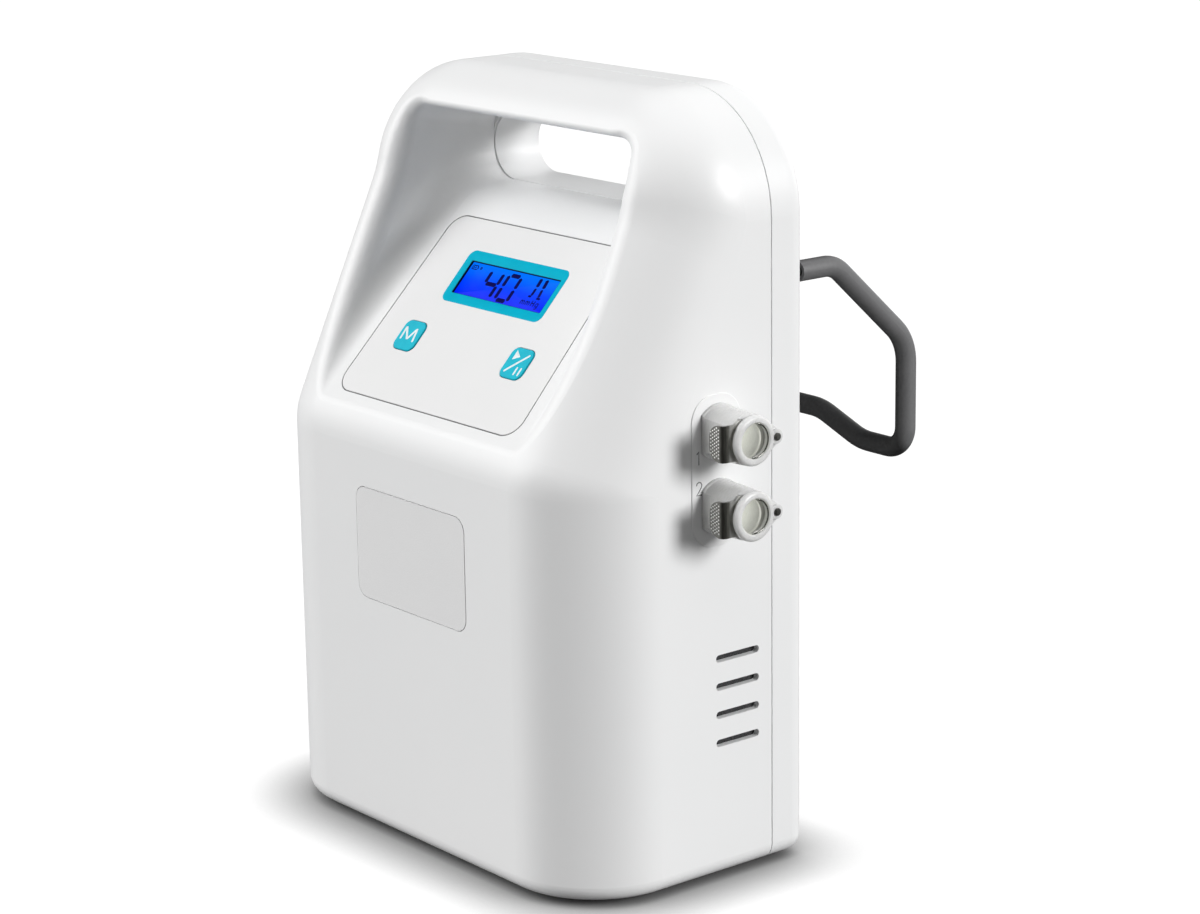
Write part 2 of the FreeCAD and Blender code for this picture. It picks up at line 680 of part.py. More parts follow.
def lug_web():
    """Web bounded by the two lines that touch both the ring and the lug."""
    lean = math.acos((RING_R - LUG_R) / LATCH_PIN_REACH)
    across, up = math.cos(lean), math.sin(lean)
    reach = RING_R - 0.3
    near = V(reach * across, reach * up, SLOT_LOW - 2.2)
    far = V(LATCH_PIN_REACH + LUG_R * across, LUG_R * up, SLOT_LOW - 2.2)
    outline = [near, far, V(far.x, -far.y, far.z), V(near.x, -near.y, near.z)]
    web = prism(outline, V(0, 0, RING_FACE - SLOT_LOW + 1.0))
    return web.cut(rod(V(0, 0, 0), V(0, 0, 1), BORE_R, 2 * RING_FACE))


def coupling_body(z):
    body = coupling_profile().revolve(V(0, 0, 0), V(0, 0, 1), 360)
    body = body.cut(box(-14, FLAT_AT, -12, 12, PLATE_FACE, SLOT_LOW + TINY))
    lug = rod(V(LATCH_PIN_REACH, 0, SLOT_LOW - 2.2), V(0, 0, 1), LUG_R,
              RING_FACE - SLOT_LOW + 1.8)
    body = fuse_all(body, [lug, lug_web()])
    slot = box(-14, 14, -LATCH_HALF - 0.2, LATCH_HALF + 0.2, SLOT_LOW, RING_BACK)
    pin_hole = rod(V(LATCH_PIN_REACH, 0, SLOT_LOW - 1.4), V(0, 0, 1), LATCH_PIN_R, 12)
    return on_side(body.cut([slot, pin_hole]), PORT_Y, z)


def latch_plate(z):
    """Stainless latch: a plate with the port's hole in it, forked round the pin at one end and
    with a thumb tab bent back towards the case at the other."""
    high = LATCH_LOW + LATCH_THICK
    centre = LATCH_CLEAR - LATCH_TRAVEL
    eye = rod(V(centre, 0, LATCH_LOW), V(0, 0, 1), LATCH_EYE_R, LATCH_THICK)
    strip = box(TAB_OUT + 1.5, -4.0, -6.3, 6.3, LATCH_LOW, high)
    trim = box(-20, 20, -LATCH_HALF, LATCH_HALF, LATCH_LOW - 1, high + 1)
    fork = box(centre, LATCH_PIN_REACH + 0.9, -2.5, 2.5, LATCH_LOW, high)
    hole = rod(V(centre, 0, LATCH_LOW - 1), V(0, 0, 1), BORE_R + 0.1, 4)
    gap = LATCH_PIN_R + 0.2
    keyway = box(LATCH_PIN_REACH - LATCH_TRAVEL - gap, 20, -gap, gap, LATCH_LOW - 1, high + 1)
    bend = prism([V(TAB_OUT + 1.6, -6.3, high), V(TAB_OUT + 0.4, -6.3, high - 0.5),
                  V(TAB_OUT, -6.3, high - 1.7), V(TAB_OUT + 1.0, -6.3, high - 1.7),
                  V(TAB_OUT + 1.6, -6.3, LATCH_LOW)], V(0, 12.6, 0))
    pad = prism([V(TAB_OUT, -6.3, high - 1.6), V(TAB_OUT + 1.0, -6.3, high - 1.6),
                 V(TAB_OUT + 1.0, -6.3, high - TAB_LONG), V(TAB_OUT, -6.3, high - TAB_LONG)], V(0, 12.6, 0))
    rear = [e for e in pad.Edges
            if abs(middle(e).z - high + TAB_LONG) < TINY and abs(abs(middle(e).y) - 6.3) < TINY]
    pad = pad.makeFillet(4.6, rear)
    latch = fuse_all(eye.common(trim), [strip, fork, bend, pad]).cut([hole, keyway])
    return on_side(latch, PORT_Y, z)


def latch_spring(z):
    """Leaf spring bent to a V between the body's flat and the thumb tab."""
    inner, outer = FLAT_AT, TAB_OUT + 1.0
    low, tip = PLATE_FACE + 8.5, SLOT_LOW - 3.0
    leaf = [V(inner, -3, low), V(inner, -3, tip - 0.8), V(outer, -3, low + 2.4),
            V(outer, -3, low + 1.9), V(inner - 0.5, -3, tip - 2.2), V(inner - 0.5, -3, low)]
    return on_side(prism(leaf, V(0, 6, 0)), PORT_Y, z)


def latch_pins():
    pins = []
    for z in PORT_Z:
        pin = rod(V(LATCH_PIN_REACH, 0, SLOT_LOW - 1.4), V(0, 0, 1), LATCH_PIN_R,
                  RING_FACE - SLOT_LOW + 1.4 + PIN_PROUD)
        tip = [e for e in pin.Edges if abs(middle(e).z - RING_FACE - PIN_PROUD) < TINY]
        pins.append(on_side(pin.makeChamfer(0.4, tip), PORT_Y, z))
    return Part.makeCompound(pins)


def coupling_nuts():
    nuts = []
    for z in PORT_Z:
        corners = [V(9.0 * math.cos(math.radians(60 * k)), 9.0 * math.sin(math.radians(60 * k)),
                     -WALL - 3.2) for k in range(6)]
        nut = prism(corners, V(0, 0, 2.4)).cut(rod(V(0, 0, -9), V(0, 0, 1), THREAD_R, 12))
        nuts.append(on_side(nut, PORT_Y, z))
    return Part.makeCompound(nuts)


def coupling_washers():
    washers = []
    for z in PORT_Z:
        ring = rod(V(0, 0, -WALL - 0.8), V(0, 0, 1), 9.4, 0.8)
        washers.append(on_side(ring.cut(rod(V(0, 0, -5), V(0, 0, 1), THREAD_R, 6)), PORT_Y, z))
    return Part.makeCompound(washers)


# ================================================================================================
# hook on the back
# ================================================================================================
def hook_points():
    """Centre line of the bent rod, from one pivot end round to the other."""
    y0, z0 = HOOK_PIVOT
    half = [V(BRACKET_X[0] + 1.0, y0, z0), V(HOOK_ARM_X, y0, z0), V(HOOK_ARM_X, HOOK_KNEE_Y, z0),
            V(HOOK_ARM_X, HOOK_REACH_Y, HOOK_DROP_Z), V(HOOK_ARM_X, HOOK_REACH_Y, HOOK_BAR_LOW_Z),
            V(52.0, HOOK_REACH_Y, HOOK_BAR_LOW_Z), V(30.0, HOOK_REACH_Y, HOOK_BAR_HIGH_Z)]
    return half + [V(-p.x, p.y, p.z) for p in reversed(half)]


HOOK_RADII = [6.0, 12.0, 18.0, 9.0, 24.0, 24.0]


def hook_path():
    return rounded_path(hook_points(), HOOK_RADII + HOOK_RADII[::-1])


def hook_rod():
    return swept_round(hook_path(), HOOK_ROD_R)


def hook_sleeve():
    """Soft sleeve over everything between the two elbows."""
    points = hook_points()[1:-1]
    start = V(HOOK_ARM_X, HOOK_PIVOT[0] + 6.2, HOOK_PIVOT[1])
    points[0] = start
    points[-1] = V(-start.x, start.y, start.z)
    path = rounded_path(points, HOOK_RADII[1:] + HOOK_RADII[:0:-1])
    return swept_round(path, HOOK_SLEEVE_R).cut(swept_round(path, HOOK_ROD_R))


def hook_brackets():
    """Two pivot blocks on the back, rounded about the hinge line."""
    y0, z0 = HOOK_PIVOT
    blocks = []
    for side in (-1, 1):
        x0, x1 = sorted((side * BRACKET_X[0], side * BRACKET_X[1]))
        foot = box(x0, x1, REAR_Y, REAR_Y + 3.0, z0 - 12.5, z0 + 12.5)
        foot = foot.makeFillet(2.5, [e for e in foot.Edges if e.BoundBox.YLength > 2.9])
        barrel = rod(V(x0, y0, z0), V(1, 0, 0), 5.2, x1 - x0)
        neck = box(x0, x1, REAR_Y + 1.0, y0, z0 - 5.2, z0 + 5.2)
        block = fuse_all(foot, [barrel, neck])
        cuts = [rod(V(x0 - 1, y0, z0), V(1, 0, 0), HOOK_ROD_R + PIVOT_CLEARANCE, x1 - x0 + 2)]
        for x, z in bracket_screw_spots():
            cuts.append(rod(V(x, REAR_Y - 1, z), V(0, 1, 0), 1.25, 12))
        blocks.append(block.cut(cuts))
    return Part.makeCompound(blocks)


def bracket_screws():
    return Part.makeCompound([pan_screw(x, REAR_Y + 3.0, z, 10.0, 1.25, 2.4)
                              for x, z in bracket_screw_spots()])


# ================================================================================================
# switch and inlet on the back
# ================================================================================================
def switch_body():
    bezel = rounded_block(*SWITCH_BEZEL, 1.6, 0, 1.2)
    bezel = bezel.makeChamfer(0.5, [e for e in bezel.Edges
                                    if all(abs(p.z - 1.2) < TINY for p in ends(e))])
    can = box(-ROCKER[0] / 2 - 1.2, ROCKER[0] / 2 + 1.2, -ROCKER[1] / 2 - 1.2,
              ROCKER[1] / 2 + 1.2, -14.0, 0)
    can = can.makeFillet(1.0, [e for e in can.Edges if e.BoundBox.ZLength > 13])
    tags = [box(-2.4, 2.4, y - 0.4, y + 0.4, -19.0, -14.0) for y in (-5.0, 5.0)]
    body = fuse_all(bezel, [can] + tags)
    well = box(-ROCKER[0] / 2 - 0.3, ROCKER[0] / 2 + 0.3, -ROCKER[1] / 2 - 0.4,
               ROCKER[1] / 2 + 0.4, -8.0, 3.0)
    reach = ROCKER[0] / 2 + ROCKER_STUB + 0.1
    dimples = rod(V(-reach, 0, -ROCKER_PIVOT_DEEP), V(1, 0, 0), ROCKER_STUB_R + 0.05, 2 * reach)
    return on_rear(body.cut([well, dimples]), *SWITCH_AT)


ROCKER_PIVOT_DEEP = 2.0
ROCKER_STUB = 0.7
ROCKER_STUB_R = 1.0


def power_rocker():
    """Rocker with two dished faces, tilted to its off side; it turns about a line across the back."""
    wide, high = ROCKER
    crown = [V(-wide / 2, -high / 2, -4.0), V(-wide / 2, -high / 2, 1.9), V(-wide / 2, -4.6, 1.0),
             V(-wide / 2, 0, 0.7), V(-wide / 2, 4.6, 1.0), V(-wide / 2, high / 2, 1.9),
             V(-wide / 2, high / 2, -4.0), V(-wide / 2, 2.0, -5.4), V(-wide / 2, -2.0, -5.4)]
    cap = prism(crown, V(wide, 0, 0))
    cap = cap.common(rod(V(-wide, 0, -ROCKER_PIVOT_DEEP), V(1, 0, 0), high / 2, 3 * wide))
    stubs = rod(V(-wide / 2 - ROCKER_STUB, 0, -ROCKER_PIVOT_DEEP), V(1, 0, 0), ROCKER_STUB_R,
                wide + 2 * ROCKER_STUB)
    cap = fuse_all(cap, [stubs])
    cap.rotate(V(0, 0, -ROCKER_PIVOT_DEEP), V(1, 0, 0), ROCKER_TILT)
    return on_rear(cap, *SWITCH_AT)


def power_inlet():
    face = rod(V(0, 0, 0), V(0, 0, 1), INLET_R, 1.4)
    face = face.makeFillet(0.5, [e for e in face.Edges if abs(middle(e).z - 1.4) < TINY])
    barrel = rod(V(0, 0, -12.0), V(0, 0, 1), INLET_R - 1.5, 12.0)
    jack = fuse_all(face, [barrel]).cut(rod(V(0, 0, -9.0), V(0, 0, 1), INLET_BORE_R, 12))
    pin = rod(V(0, 0, -10.0), V(0, 0, 1), INLET_PIN_R, 9.6)
    return on_rear(fuse_all(jack, [pin]), *INLET_AT)


def inlet_nut():
    corners = [V(6.2 * math.cos(math.radians(60 * k)), 6.2 * math.sin(math.radians(60 * k)),
                 -WALL - 2.0) for k in range(6)]
    nut = prism(corners, V(0, 0, 2.0)).cut(rod(V(0, 0, -9), V(0, 0, 1), INLET_R - 1.5, 12))
    return on_rear(nut, *INLET_AT)


# ================================================================================================
# inside: chassis, air pump, valves, boards, battery, hoses
# ================================================================================================
BOARD_Y = 24.0
PUMP_Z = 44.0
PUMP_Y = 6.6
MOTOR_R = 16.0
CRADLE_Y = (16.0, 26.6)
GROMMETS = ((-44.0, 24.0), (-44.0, 64.0), (22.0, 24.0), (22.0, 64.0))
MANIFOLD = (38.0, 70.0, 10.0, 30.6, 76.0, 92.0)
MANIFOLD_PORTS = (46.0, 62.0)
MANIFOLD_PORT_Y = 18.0
HOSE_TOP = 100.0
BOARD_STANDOFFS = ((-50.0, 118.0), (50.0, 118.0), (-50.0, 194.0), (50.0, 194.0))


def chassis_plate():
    y0, y1 = CHASSIS_Y
    plate = box(-CHASSIS_HALF, CHASSIS_HALF, y0, y1, *CHASSIS_Z)
    plate = plate.makeFillet(5, [e for e in plate.Edges if e.BoundBox.YLength > 1.9
                                 and e.BoundBox.XLength < TINY and e.BoundBox.ZLength < TINY])
    posts = [rod(V(x, BOARD_Y + BOARD_THICK, z), V(0, 1, 0), 3.0, y0 - BOARD_Y - BOARD_THICK + 1)
             for x, z in BOARD_STANDOFFS]
    plate = fuse_all(plate, posts)
    holes = [rod(V(x, y0 - 1, z), V(0, 1, 0), SCREW_R, 5) for x, z in STANDOFFS]
    holes += [rod(V(x, y0 - 1, z), V(0, 1, 0), 2.0, 5) for x, z in GROMMETS]
    return plate.cut(holes)


def chassis_screws():
    """Screws whose heads bear on the chassis from the front and run back into the rear shell."""
    screws = []
    for x, z in STANDOFFS:
        shank = rod(V(x, CHASSIS_Y[0], z), V(0, 1, 0), SCREW_R, 11.0)
        head = rod(V(x, CHASSIS_Y[0] - 2.0, z), V(0, 1, 0), SCREW_HEAD_R, 2.0)
        screws.append(fuse_all(shank, [head]))
    return Part.makeCompound(screws)


def pump_motor():
    can = rod(V(-52, PUMP_Y, PUMP_Z), V(1, 0, 0), MOTOR_R, 46)
    can = can.makeFillet(1.5, [e for e in can.Edges if abs(middle(e).x + 52) < TINY])
    bearing = rod(V(-56, PUMP_Y, PUMP_Z), V(1, 0, 0), 5.0, 4.5)
    return fuse_all(can, [bearing])


def pump_head():
    """Twin-chamber diaphragm head with its outlet nipple."""
    block = box(-6, 26, PUMP_Y - 16, PUMP_Y + 16, PUMP_Z - 17, PUMP_Z + 17)
    block = block.makeFillet(3, [e for e in block.Edges if e.BoundBox.XLength > 30])
    domes = [rod(V(26, PUMP_Y, PUMP_Z + s * 8.2), V(1, 0, 0), 7.0, 5.0) for s in (-1, 1)]
    nipple = rod(V(13, PUMP_Y, PUMP_Z + 17), V(0, 0, 1), BARB_R, 9)
    return fuse_all(block, domes + [nipple])


def pump_cradle():
    plate = box(-50, 28, CRADLE_Y[1] - 2.0, CRADLE_Y[1], 18, 70)
    saddle = box(-46, -10, CRADLE_Y[0], CRADLE_Y[1], PUMP_Z - 14, PUMP_Z + 14)
    pad = box(-6, 24, PUMP_Y + 16, CRADLE_Y[1], PUMP_Z - 15, PUMP_Z + 15)
    cradle = fuse_all(plate, [saddle, pad])
    holes = [rod(V(x, 20, z), V(0, 1, 0), 2.0, 10) for x, z in GROMMETS]
    return cradle.cut(holes + [rod(V(-60, PUMP_Y, PUMP_Z), V(1, 0, 0), MOTOR_R, 54)])


def pump_grommets():
    """Rubber bobbins between the pump's cradle and the chassis, with a neck through each."""
    bobbins = []
    for x, z in GROMMETS:
        body = rod(V(x, CRADLE_Y[1], z), V(0, 1, 0), 4.5, CHASSIS_Y[0] - CRADLE_Y[1])
        neck = rod(V(x, CRADLE_Y[1] - 2.0, z), V(0, 1, 0), 2.0, CHASSIS_Y[1] - CRADLE_Y[1] + 2.0)
        bobbins.append(fuse_all(body, [neck]))
    return Part.makeCompound(bobbins)


def valve_manifold():
    block = box(*MANIFOLD)
    top = MANIFOLD[5]
    barbs = [rod(V(x, MANIFOLD_PORT_Y, top), V(0, 0, 1), BARB_R, HOSE_TOP - top)
             for x in MANIFOLD_PORTS]
    inlet = rod(V(54, MANIFOLD_PORT_Y, MANIFOLD[4] - 8), V(0, 0, 1), BARB_R, 9)
    return fuse_all(block, barbs + [inlet])


def solenoid_valves():
    valves = []
    for x in MANIFOLD_PORTS:
        y0 = MANIFOLD[2]
        coil = rod(V(x, y0 - 22, 84.0), V(0, 1, 0), 6.8, 22)
        cap = rod(V(x, y0 - 25, 84.0), V(0, 1, 0), 3.0, 4)
        valves.append(fuse_all(coil, [cap]))
    return Part.makeCompound(valves)


def main_board():
    board = box(-56, 56, BOARD_Y, BOARD_Y + BOARD_THICK, 112, 200)
    parts = [box(-20, 2, BOARD_Y - 2.0, BOARD_Y, 150, 172),
             box(10, 34, BOARD_Y - 9.0, BOARD_Y, 176, 196),
             box(-50, -42, BOARD_Y - 7.0, BOARD_Y, 150, 178),
             rod(V(-30, BOARD_Y - 12.0, 186), V(0, 1, 0), 5.0, 12.0)]
    board = fuse_all(board, parts)
    return board.cut([rod(V(x, BOARD_Y - 1, z), V(0, 1, 0), 1.2, 4) for x, z in BOARD_STANDOFFS])


def pressure_sensor():
    case = box(-6, 8, BOARD_Y - 7.0, BOARD_Y, 122, 136)
    nipples = [rod(V(x, BOARD_Y - 13.0, 129), V(0, 1, 0), 1.6, 7) for x in (-2.0, 4.0)]
    return fuse_all(case, nipples)


def buzzer():
    can = rod(V(-38, BOARD_Y - 8.0, 132), V(0, 1, 0), 6.5, 8.0)
    return can.cut(rod(V(-38, BOARD_Y - 9.0, 132), V(0, 1, 0), 1.2, 3.0))


def battery_pack():
    """Two rows of cells in one wrapping."""
    pack = box(-70, -4, CHASSIS_Y[0] - 19, CHASSIS_Y[0], 70, 108)
    long_edges = [e for e in pack.Edges if e.BoundBox.XLength > 60]
    pack = pack.makeFillet(7.0, long_edges)
    groove = prism([V(-71, CHASSIS_Y[0] - 20, 87.5), V(-71, CHASSIS_Y[0] - 17.6, 89),
                    V(-71, CHASSIS_Y[0] - 20, 90.5)], V(68, 0, 0))
    return pack.cut(groove)


def hose(points, radii):
    path = rounded_path(points, radii)
    return swept_round(path, HOSE_R).cut(swept_round(path, BARB_R))


def port_hose(number):
    """Hose pushed over a coupling's barb at one end and a valve's barb at the other."""
    z = PORT_Z[number]
    x = MANIFOLD_PORTS[number]
    barb_x = HALF - WALL - 4.0
    return hose([V(barb_x, PORT_Y, z), V(x, PORT_Y, z), V(x, PORT_Y + 2, z - 24),
                 V(x, MANIFOLD_PORT_Y, HOSE_TOP + 10), V(x, MANIFOLD_PORT_Y, MANIFOLD[5] + 1)],
                [12.0, 20.0, 8.0])


def feed_hose():
    """Hose from the pump head up and over to the underside of the valve block."""
    z = PUMP_Z + 17 + 1
    low = MANIFOLD[4] - 1
    return hose([V(13, PUMP_Y, z), V(13, PUMP_Y, z + 16), V(34, PUMP_Y + 4, z + 22),
                 V(34, MANIFOLD_PORT_Y, z - 4), V(54, MANIFOLD_PORT_Y, z - 8),
                 V(54, MANIFOLD_PORT_Y, low)], [9.0, 9.0, 9.0, 9.0])


# ================================================================================================
# build
# ================================================================================================
def main():
    os.makedirs("parts", exist_ok=True)
    body, cavity = case_body()
    pieces = {
        "front_housing": front_housing(body, cavity),
        "rear_housing": rear_housing(body, cavity),
        "case_screws": case_screws(),
        "rubber_feet": rubber_feet(),
        "badge_plate": badge_plate(),
        "vent_filter": vent_filter(),
        "control_overlay": control_overlay(),
        "lcd_window": lcd_window(),
        "lcd_module": lcd_module(),
        "mode_key": control_key(-1),
        "start_key": control_key(1),
        "control_board": control_board(),
        "key_switches": key_switches(),
        "board_screws": board_screws(),
        "port_plate": port_plate(),
        "latch_pins": latch_pins(),
        "coupling_nuts": coupling_nuts(),
        "coupling_washers": coupling_washers(),
        "hook_rod": hook_rod(),
        "hook_sleeve": hook_sleeve(),
        "hook_brackets": hook_brackets(),
        "bracket_screws": bracket_screws(),
        "switch_body": switch_body(),
        "power_rocker": power_rocker(),
        "power_inlet": power_inlet(),
        "inlet_nut": inlet_nut(),
        "chassis_plate": chassis_plate(),
        "chassis_screws": chassis_screws(),
        "pump_motor": pump_motor(),
        "pump_head": pump_head(),
        "pump_cradle": pump_cradle(),
        "pump_grommets": pump_grommets(),
        "valve_manifold": valve_manifold(),
        "solenoid_valves": solenoid_valves(),
        "main_board": main_board(),
        "pressure_sensor": pressure_sensor(),
        "buzzer": buzzer(),
        "battery_pack": battery_pack(),
        "feed_hose": feed_hose(),
    }
    for number, z in enumerate(PORT_Z, 1):
        pieces["coupling_%d_body" % number] = coupling_body(z)
        pieces["latch_%d_plate" % number] = latch_plate(z)
        pieces["latch_%d_spring" % number] = latch_spring(z)
        pieces["port_%d_hose" % number] = port_hose(number - 1)
    for name, shape in pieces.items():
        shape.exportStep("parts/%s.step" % name)
        print(name, len(shape.Solids), "solids", shape.isValid(), round(shape.Volume / 1000, 2), "cm3")


main()
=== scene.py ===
"""Looks of the compression therapy pump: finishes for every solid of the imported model, and the
thin printed, pressed and glazed pieces that the solids leave out.  Sizes are in millimetres unless
a comment says metres."""

import math

import bmesh
import bpy
import numpy as np
from mathutils import Matrix, Vector


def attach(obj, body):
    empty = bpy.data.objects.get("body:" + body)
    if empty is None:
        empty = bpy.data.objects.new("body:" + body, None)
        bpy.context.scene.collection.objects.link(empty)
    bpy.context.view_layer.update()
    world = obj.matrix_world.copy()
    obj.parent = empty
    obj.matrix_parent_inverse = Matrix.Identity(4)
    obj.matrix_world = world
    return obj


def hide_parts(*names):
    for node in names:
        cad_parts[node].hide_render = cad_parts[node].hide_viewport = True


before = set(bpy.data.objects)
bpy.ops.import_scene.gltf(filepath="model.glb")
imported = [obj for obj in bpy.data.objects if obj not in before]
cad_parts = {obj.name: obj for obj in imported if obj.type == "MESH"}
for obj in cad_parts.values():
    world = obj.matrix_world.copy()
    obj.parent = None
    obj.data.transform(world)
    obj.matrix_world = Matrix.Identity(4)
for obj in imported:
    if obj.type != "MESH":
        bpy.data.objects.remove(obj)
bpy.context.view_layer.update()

MM = 0.001

# the sloped panel: where its lower edge is, and its directions up the slope and out of the face;
# across, up and out are measured from there wherever flat work lies on it
PANEL_FOOT = np.array((0.0, -45.4, 162.25))
PANEL_SLOPE = math.radians(46.27)
UP_SLOPE = np.array((0.0, math.cos(PANEL_SLOPE), math.sin(PANEL_SLOPE)))
OUT_OF_PANEL = np.array((0.0, -math.sin(PANEL_SLOPE), math.cos(PANEL_SLOPE)))

KEY_TOP = 0.4            # how far the keys stand out of the panel
PORT_FACE_X = 94.1       # face of the plate behind the couplings
BACK_FACE_Y = 52.1       # flat of the back cover

# the couplings, upper and lower: their axes, their bores and the outer end of their rings
PORT_Y = 10.0
PORT_Z = (163.1, 136.9)
BORE_R = 6.2
RING_FACE_X = 113.5

# outline of the panel film, a taper with rounded corners
FILM_FOOT_HALF = 52.4
FILM_TOP_HALF = 49.2
FILM_LONG = 78.8
FILM_CORNER = 7.0


# ---- where flat work goes on the pump ----
def onto_panel(flat):
    """(across, up, out) on the sloped panel: foot + across X + up the slope + out of the face."""
    across = flat[..., 0:1] * np.array((1.0, 0.0, 0.0))
    return (PANEL_FOOT + across + flat[..., 1:2] * UP_SLOPE + flat[..., 2:3] * OUT_OF_PANEL) * MM


def onto_port_plate(flat):
    """(along, up, out) on the right-hand side: along is +Y, up is +Z, out is +X."""
    return np.stack((flat[..., 2] + PORT_FACE_X, flat[..., 0], flat[..., 1]), axis=-1) * MM


def onto_back(flat):
    """(across, up, out) on the back, read from behind: across is -X, up is +Z, out is +Y."""
    return np.stack((-flat[..., 0], flat[..., 2] + BACK_FACE_Y, flat[..., 1]), axis=-1) * MM


# ---- surfaces ----
SAME_POINT = 2e-7        # metres between points that are merged
NO_EDGE = 1e-8           # metres under which an edge is taken out

# a printed stroke
INK_SINK = 0.03          # how far its underside lies in what it is printed on
INK_FOOT = 0.6           # half width of that underside, as a share of the stroke's
POINTED_TIP = 0.55       # length of a pointed tip, in half widths
HEADING_STEP = 0.05      # how far ahead and behind the line's direction is taken from


def quads_between(rows, columns, wrap_rows):
    """Faces of a grid whose columns go right round: point (i, j) joins (i, j+1), (i+1, j+1) and
    (i+1, j), and the last row joins the first where asked."""
    i, j = np.meshgrid(np.arange(rows if wrap_rows else rows - 1), np.arange(columns),
                       indexing="ij")
    after_i, after_j = (i + 1) % rows, (j + 1) % columns
    corners = (i * columns + j, i * columns + after_j,
               after_i * columns + after_j, after_i * columns + j)
    return np.stack([c.ravel() for c in corners], axis=1)


def gathered(grids, wrap_rows):
    """Several grids (rows, columns, 3) as one list of points and one of faces, numbered on."""
    points, faces, start = [], [], 0
    for grid in grids:
        rows, columns = grid.shape[:2]
        points.append(grid.reshape(-1, 3))
        faces.append(quads_between(rows, columns, wrap_rows) + start)
        start += rows * columns
    return np.concatenate(points), np.concatenate(faces)


def make_piece(name, grids, body, finish, wrap_rows=False, crease=35.0):
    """A mesh from grids of points in metres.  Points that meet are merged, so seams and poles are
    closed, the faces are turned outwards, and edges sharper than the crease angle stay crisp."""
    points, faces = gathered(grids, wrap_rows)
    mesh = bpy.data.meshes.new(name)
    mesh.from_pydata(points.tolist(), [], faces.tolist())
    work = bmesh.new()
    work.from_mesh(mesh)
    bmesh.ops.remove_doubles(work, verts=work.verts, dist=SAME_POINT)
    bmesh.ops.dissolve_degenerate(work, edges=work.edges, dist=NO_EDGE)
    bmesh.ops.recalc_face_normals(work, faces=work.faces)
    work.to_mesh(mesh)
    work.free()
    mesh.polygons.foreach_set("use_smooth", np.ones(len(mesh.polygons), dtype=bool))
    mesh.set_sharp_from_angle(angle=math.radians(crease))
    mesh.materials.append(finish)
    made = bpy.data.objects.new(name, mesh)
    bpy.context.scene.collection.objects.link(made)
    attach(made, body)
    return made


def rounded_loop(half_across, half_up, corner, arc=9):
    """Rounded rectangle: in each quarter the corner's centre plus its radius at angles from 0 to
    90 degrees, turned by the quarter; straight sides join one quarter to the next."""
    turn = np.linspace(0, math.pi / 2, arc)
    quarter = np.arange(4)[:, None]
    angle = quarter * math.pi / 2 + turn[None, :]
    sign_x = np.array((1, -1, -1, 1))[:, None]
    sign_y = np.array((1, 1, -1, -1))[:, None]
    x = sign_x * (half_across - corner) + corner * np.cos(angle)
    y = sign_y * (half_up - corner) + corner * np.sin(angle)
    return np.stack((x.ravel(), y.ravel()), axis=-1)


def stacked_loops(loops, heights, centre):
    """A profile carried round a loop: each loop lies at its own height over the same centre."""
    rows = [np.column_stack((loop + np.array(centre), np.full(len(loop), height)))
            for loop, height in zip(loops, heights)]
    return np.stack(rows)


def ink_stroke(line, half_wide, high, tip):
    """A ribbon along a line.  Its half width is held along the line and eased to nothing at both
    ends: by a quarter circle for a round tip, evenly and sooner for a pointed one.  Across it the
    top is half an ellipse, and the underside sinks a little into what it is printed on."""
    line = np.asarray(line, dtype=float)
    runs = np.hypot(*np.diff(line, axis=0).T)
    along = np.concatenate(((0.0,), np.cumsum(runs)))
    total = along[-1]
    reach = min(half_wide, total / 2)
    ease = reach * (1 - np.cos(np.linspace(0, math.pi / 2, 6)))
    if tip == "pointed":
        reach = POINTED_TIP * reach
        ease = np.array((0.0, reach))
    inside = along[(along > reach) & (along < total - reach)]
    d = np.unique(np.concatenate((ease, inside, total - ease)))

    def at(far):
        """Points of the line so far along it."""
        return np.column_stack([np.interp(far, along, line[:, k]) for k in (0, 1)])

    step = at(np.minimum(d + HEADING_STEP, total)) - at(np.maximum(d - HEADING_STEP, 0))
    heading = step / np.linalg.norm(step, axis=1)[:, None]
    left = np.column_stack((-heading[:, 1], heading[:, 0]))
    near_end = np.clip(np.minimum(d, total - d) / reach, 0, 1)
    share = near_end if tip == "pointed" else np.sqrt(1 - (1 - near_end) ** 2)
    across = np.cos(np.linspace(math.pi, 0, 7))
    crown = np.sqrt(np.clip(1 - across ** 2, 0, 1))
    across = np.concatenate((across, (INK_FOOT, -INK_FOOT)))
    lift = np.concatenate((crown * high, (-INK_SINK, -INK_SINK)))
    side = left[:, None, :] * (across[None, :] * half_wide)[..., None] * share[:, None, None]
    flat = at(d)[:, None, :] + side
    up = lift[None, :] * share[:, None]
    return np.concatenate((flat, up[..., None]), axis=-1)


def printed(name, strokes, place, level, body, finish, tip="round"):
    """Strokes (line, half width, height) laid on a face at one level and joined into one piece."""
    grids = []
    for line, half_wide, high in strokes:
        ribbon = ink_stroke(line, half_wide, high, tip)
        ribbon[..., 2] += level
        grids.append(place(ribbon))
    make_piece(name, grids, body, finish, crease=60.0)


def shifted(line, across, up):
    """A line moved by so much across and up."""
    return [(x + across, y + up) for x, y in line]


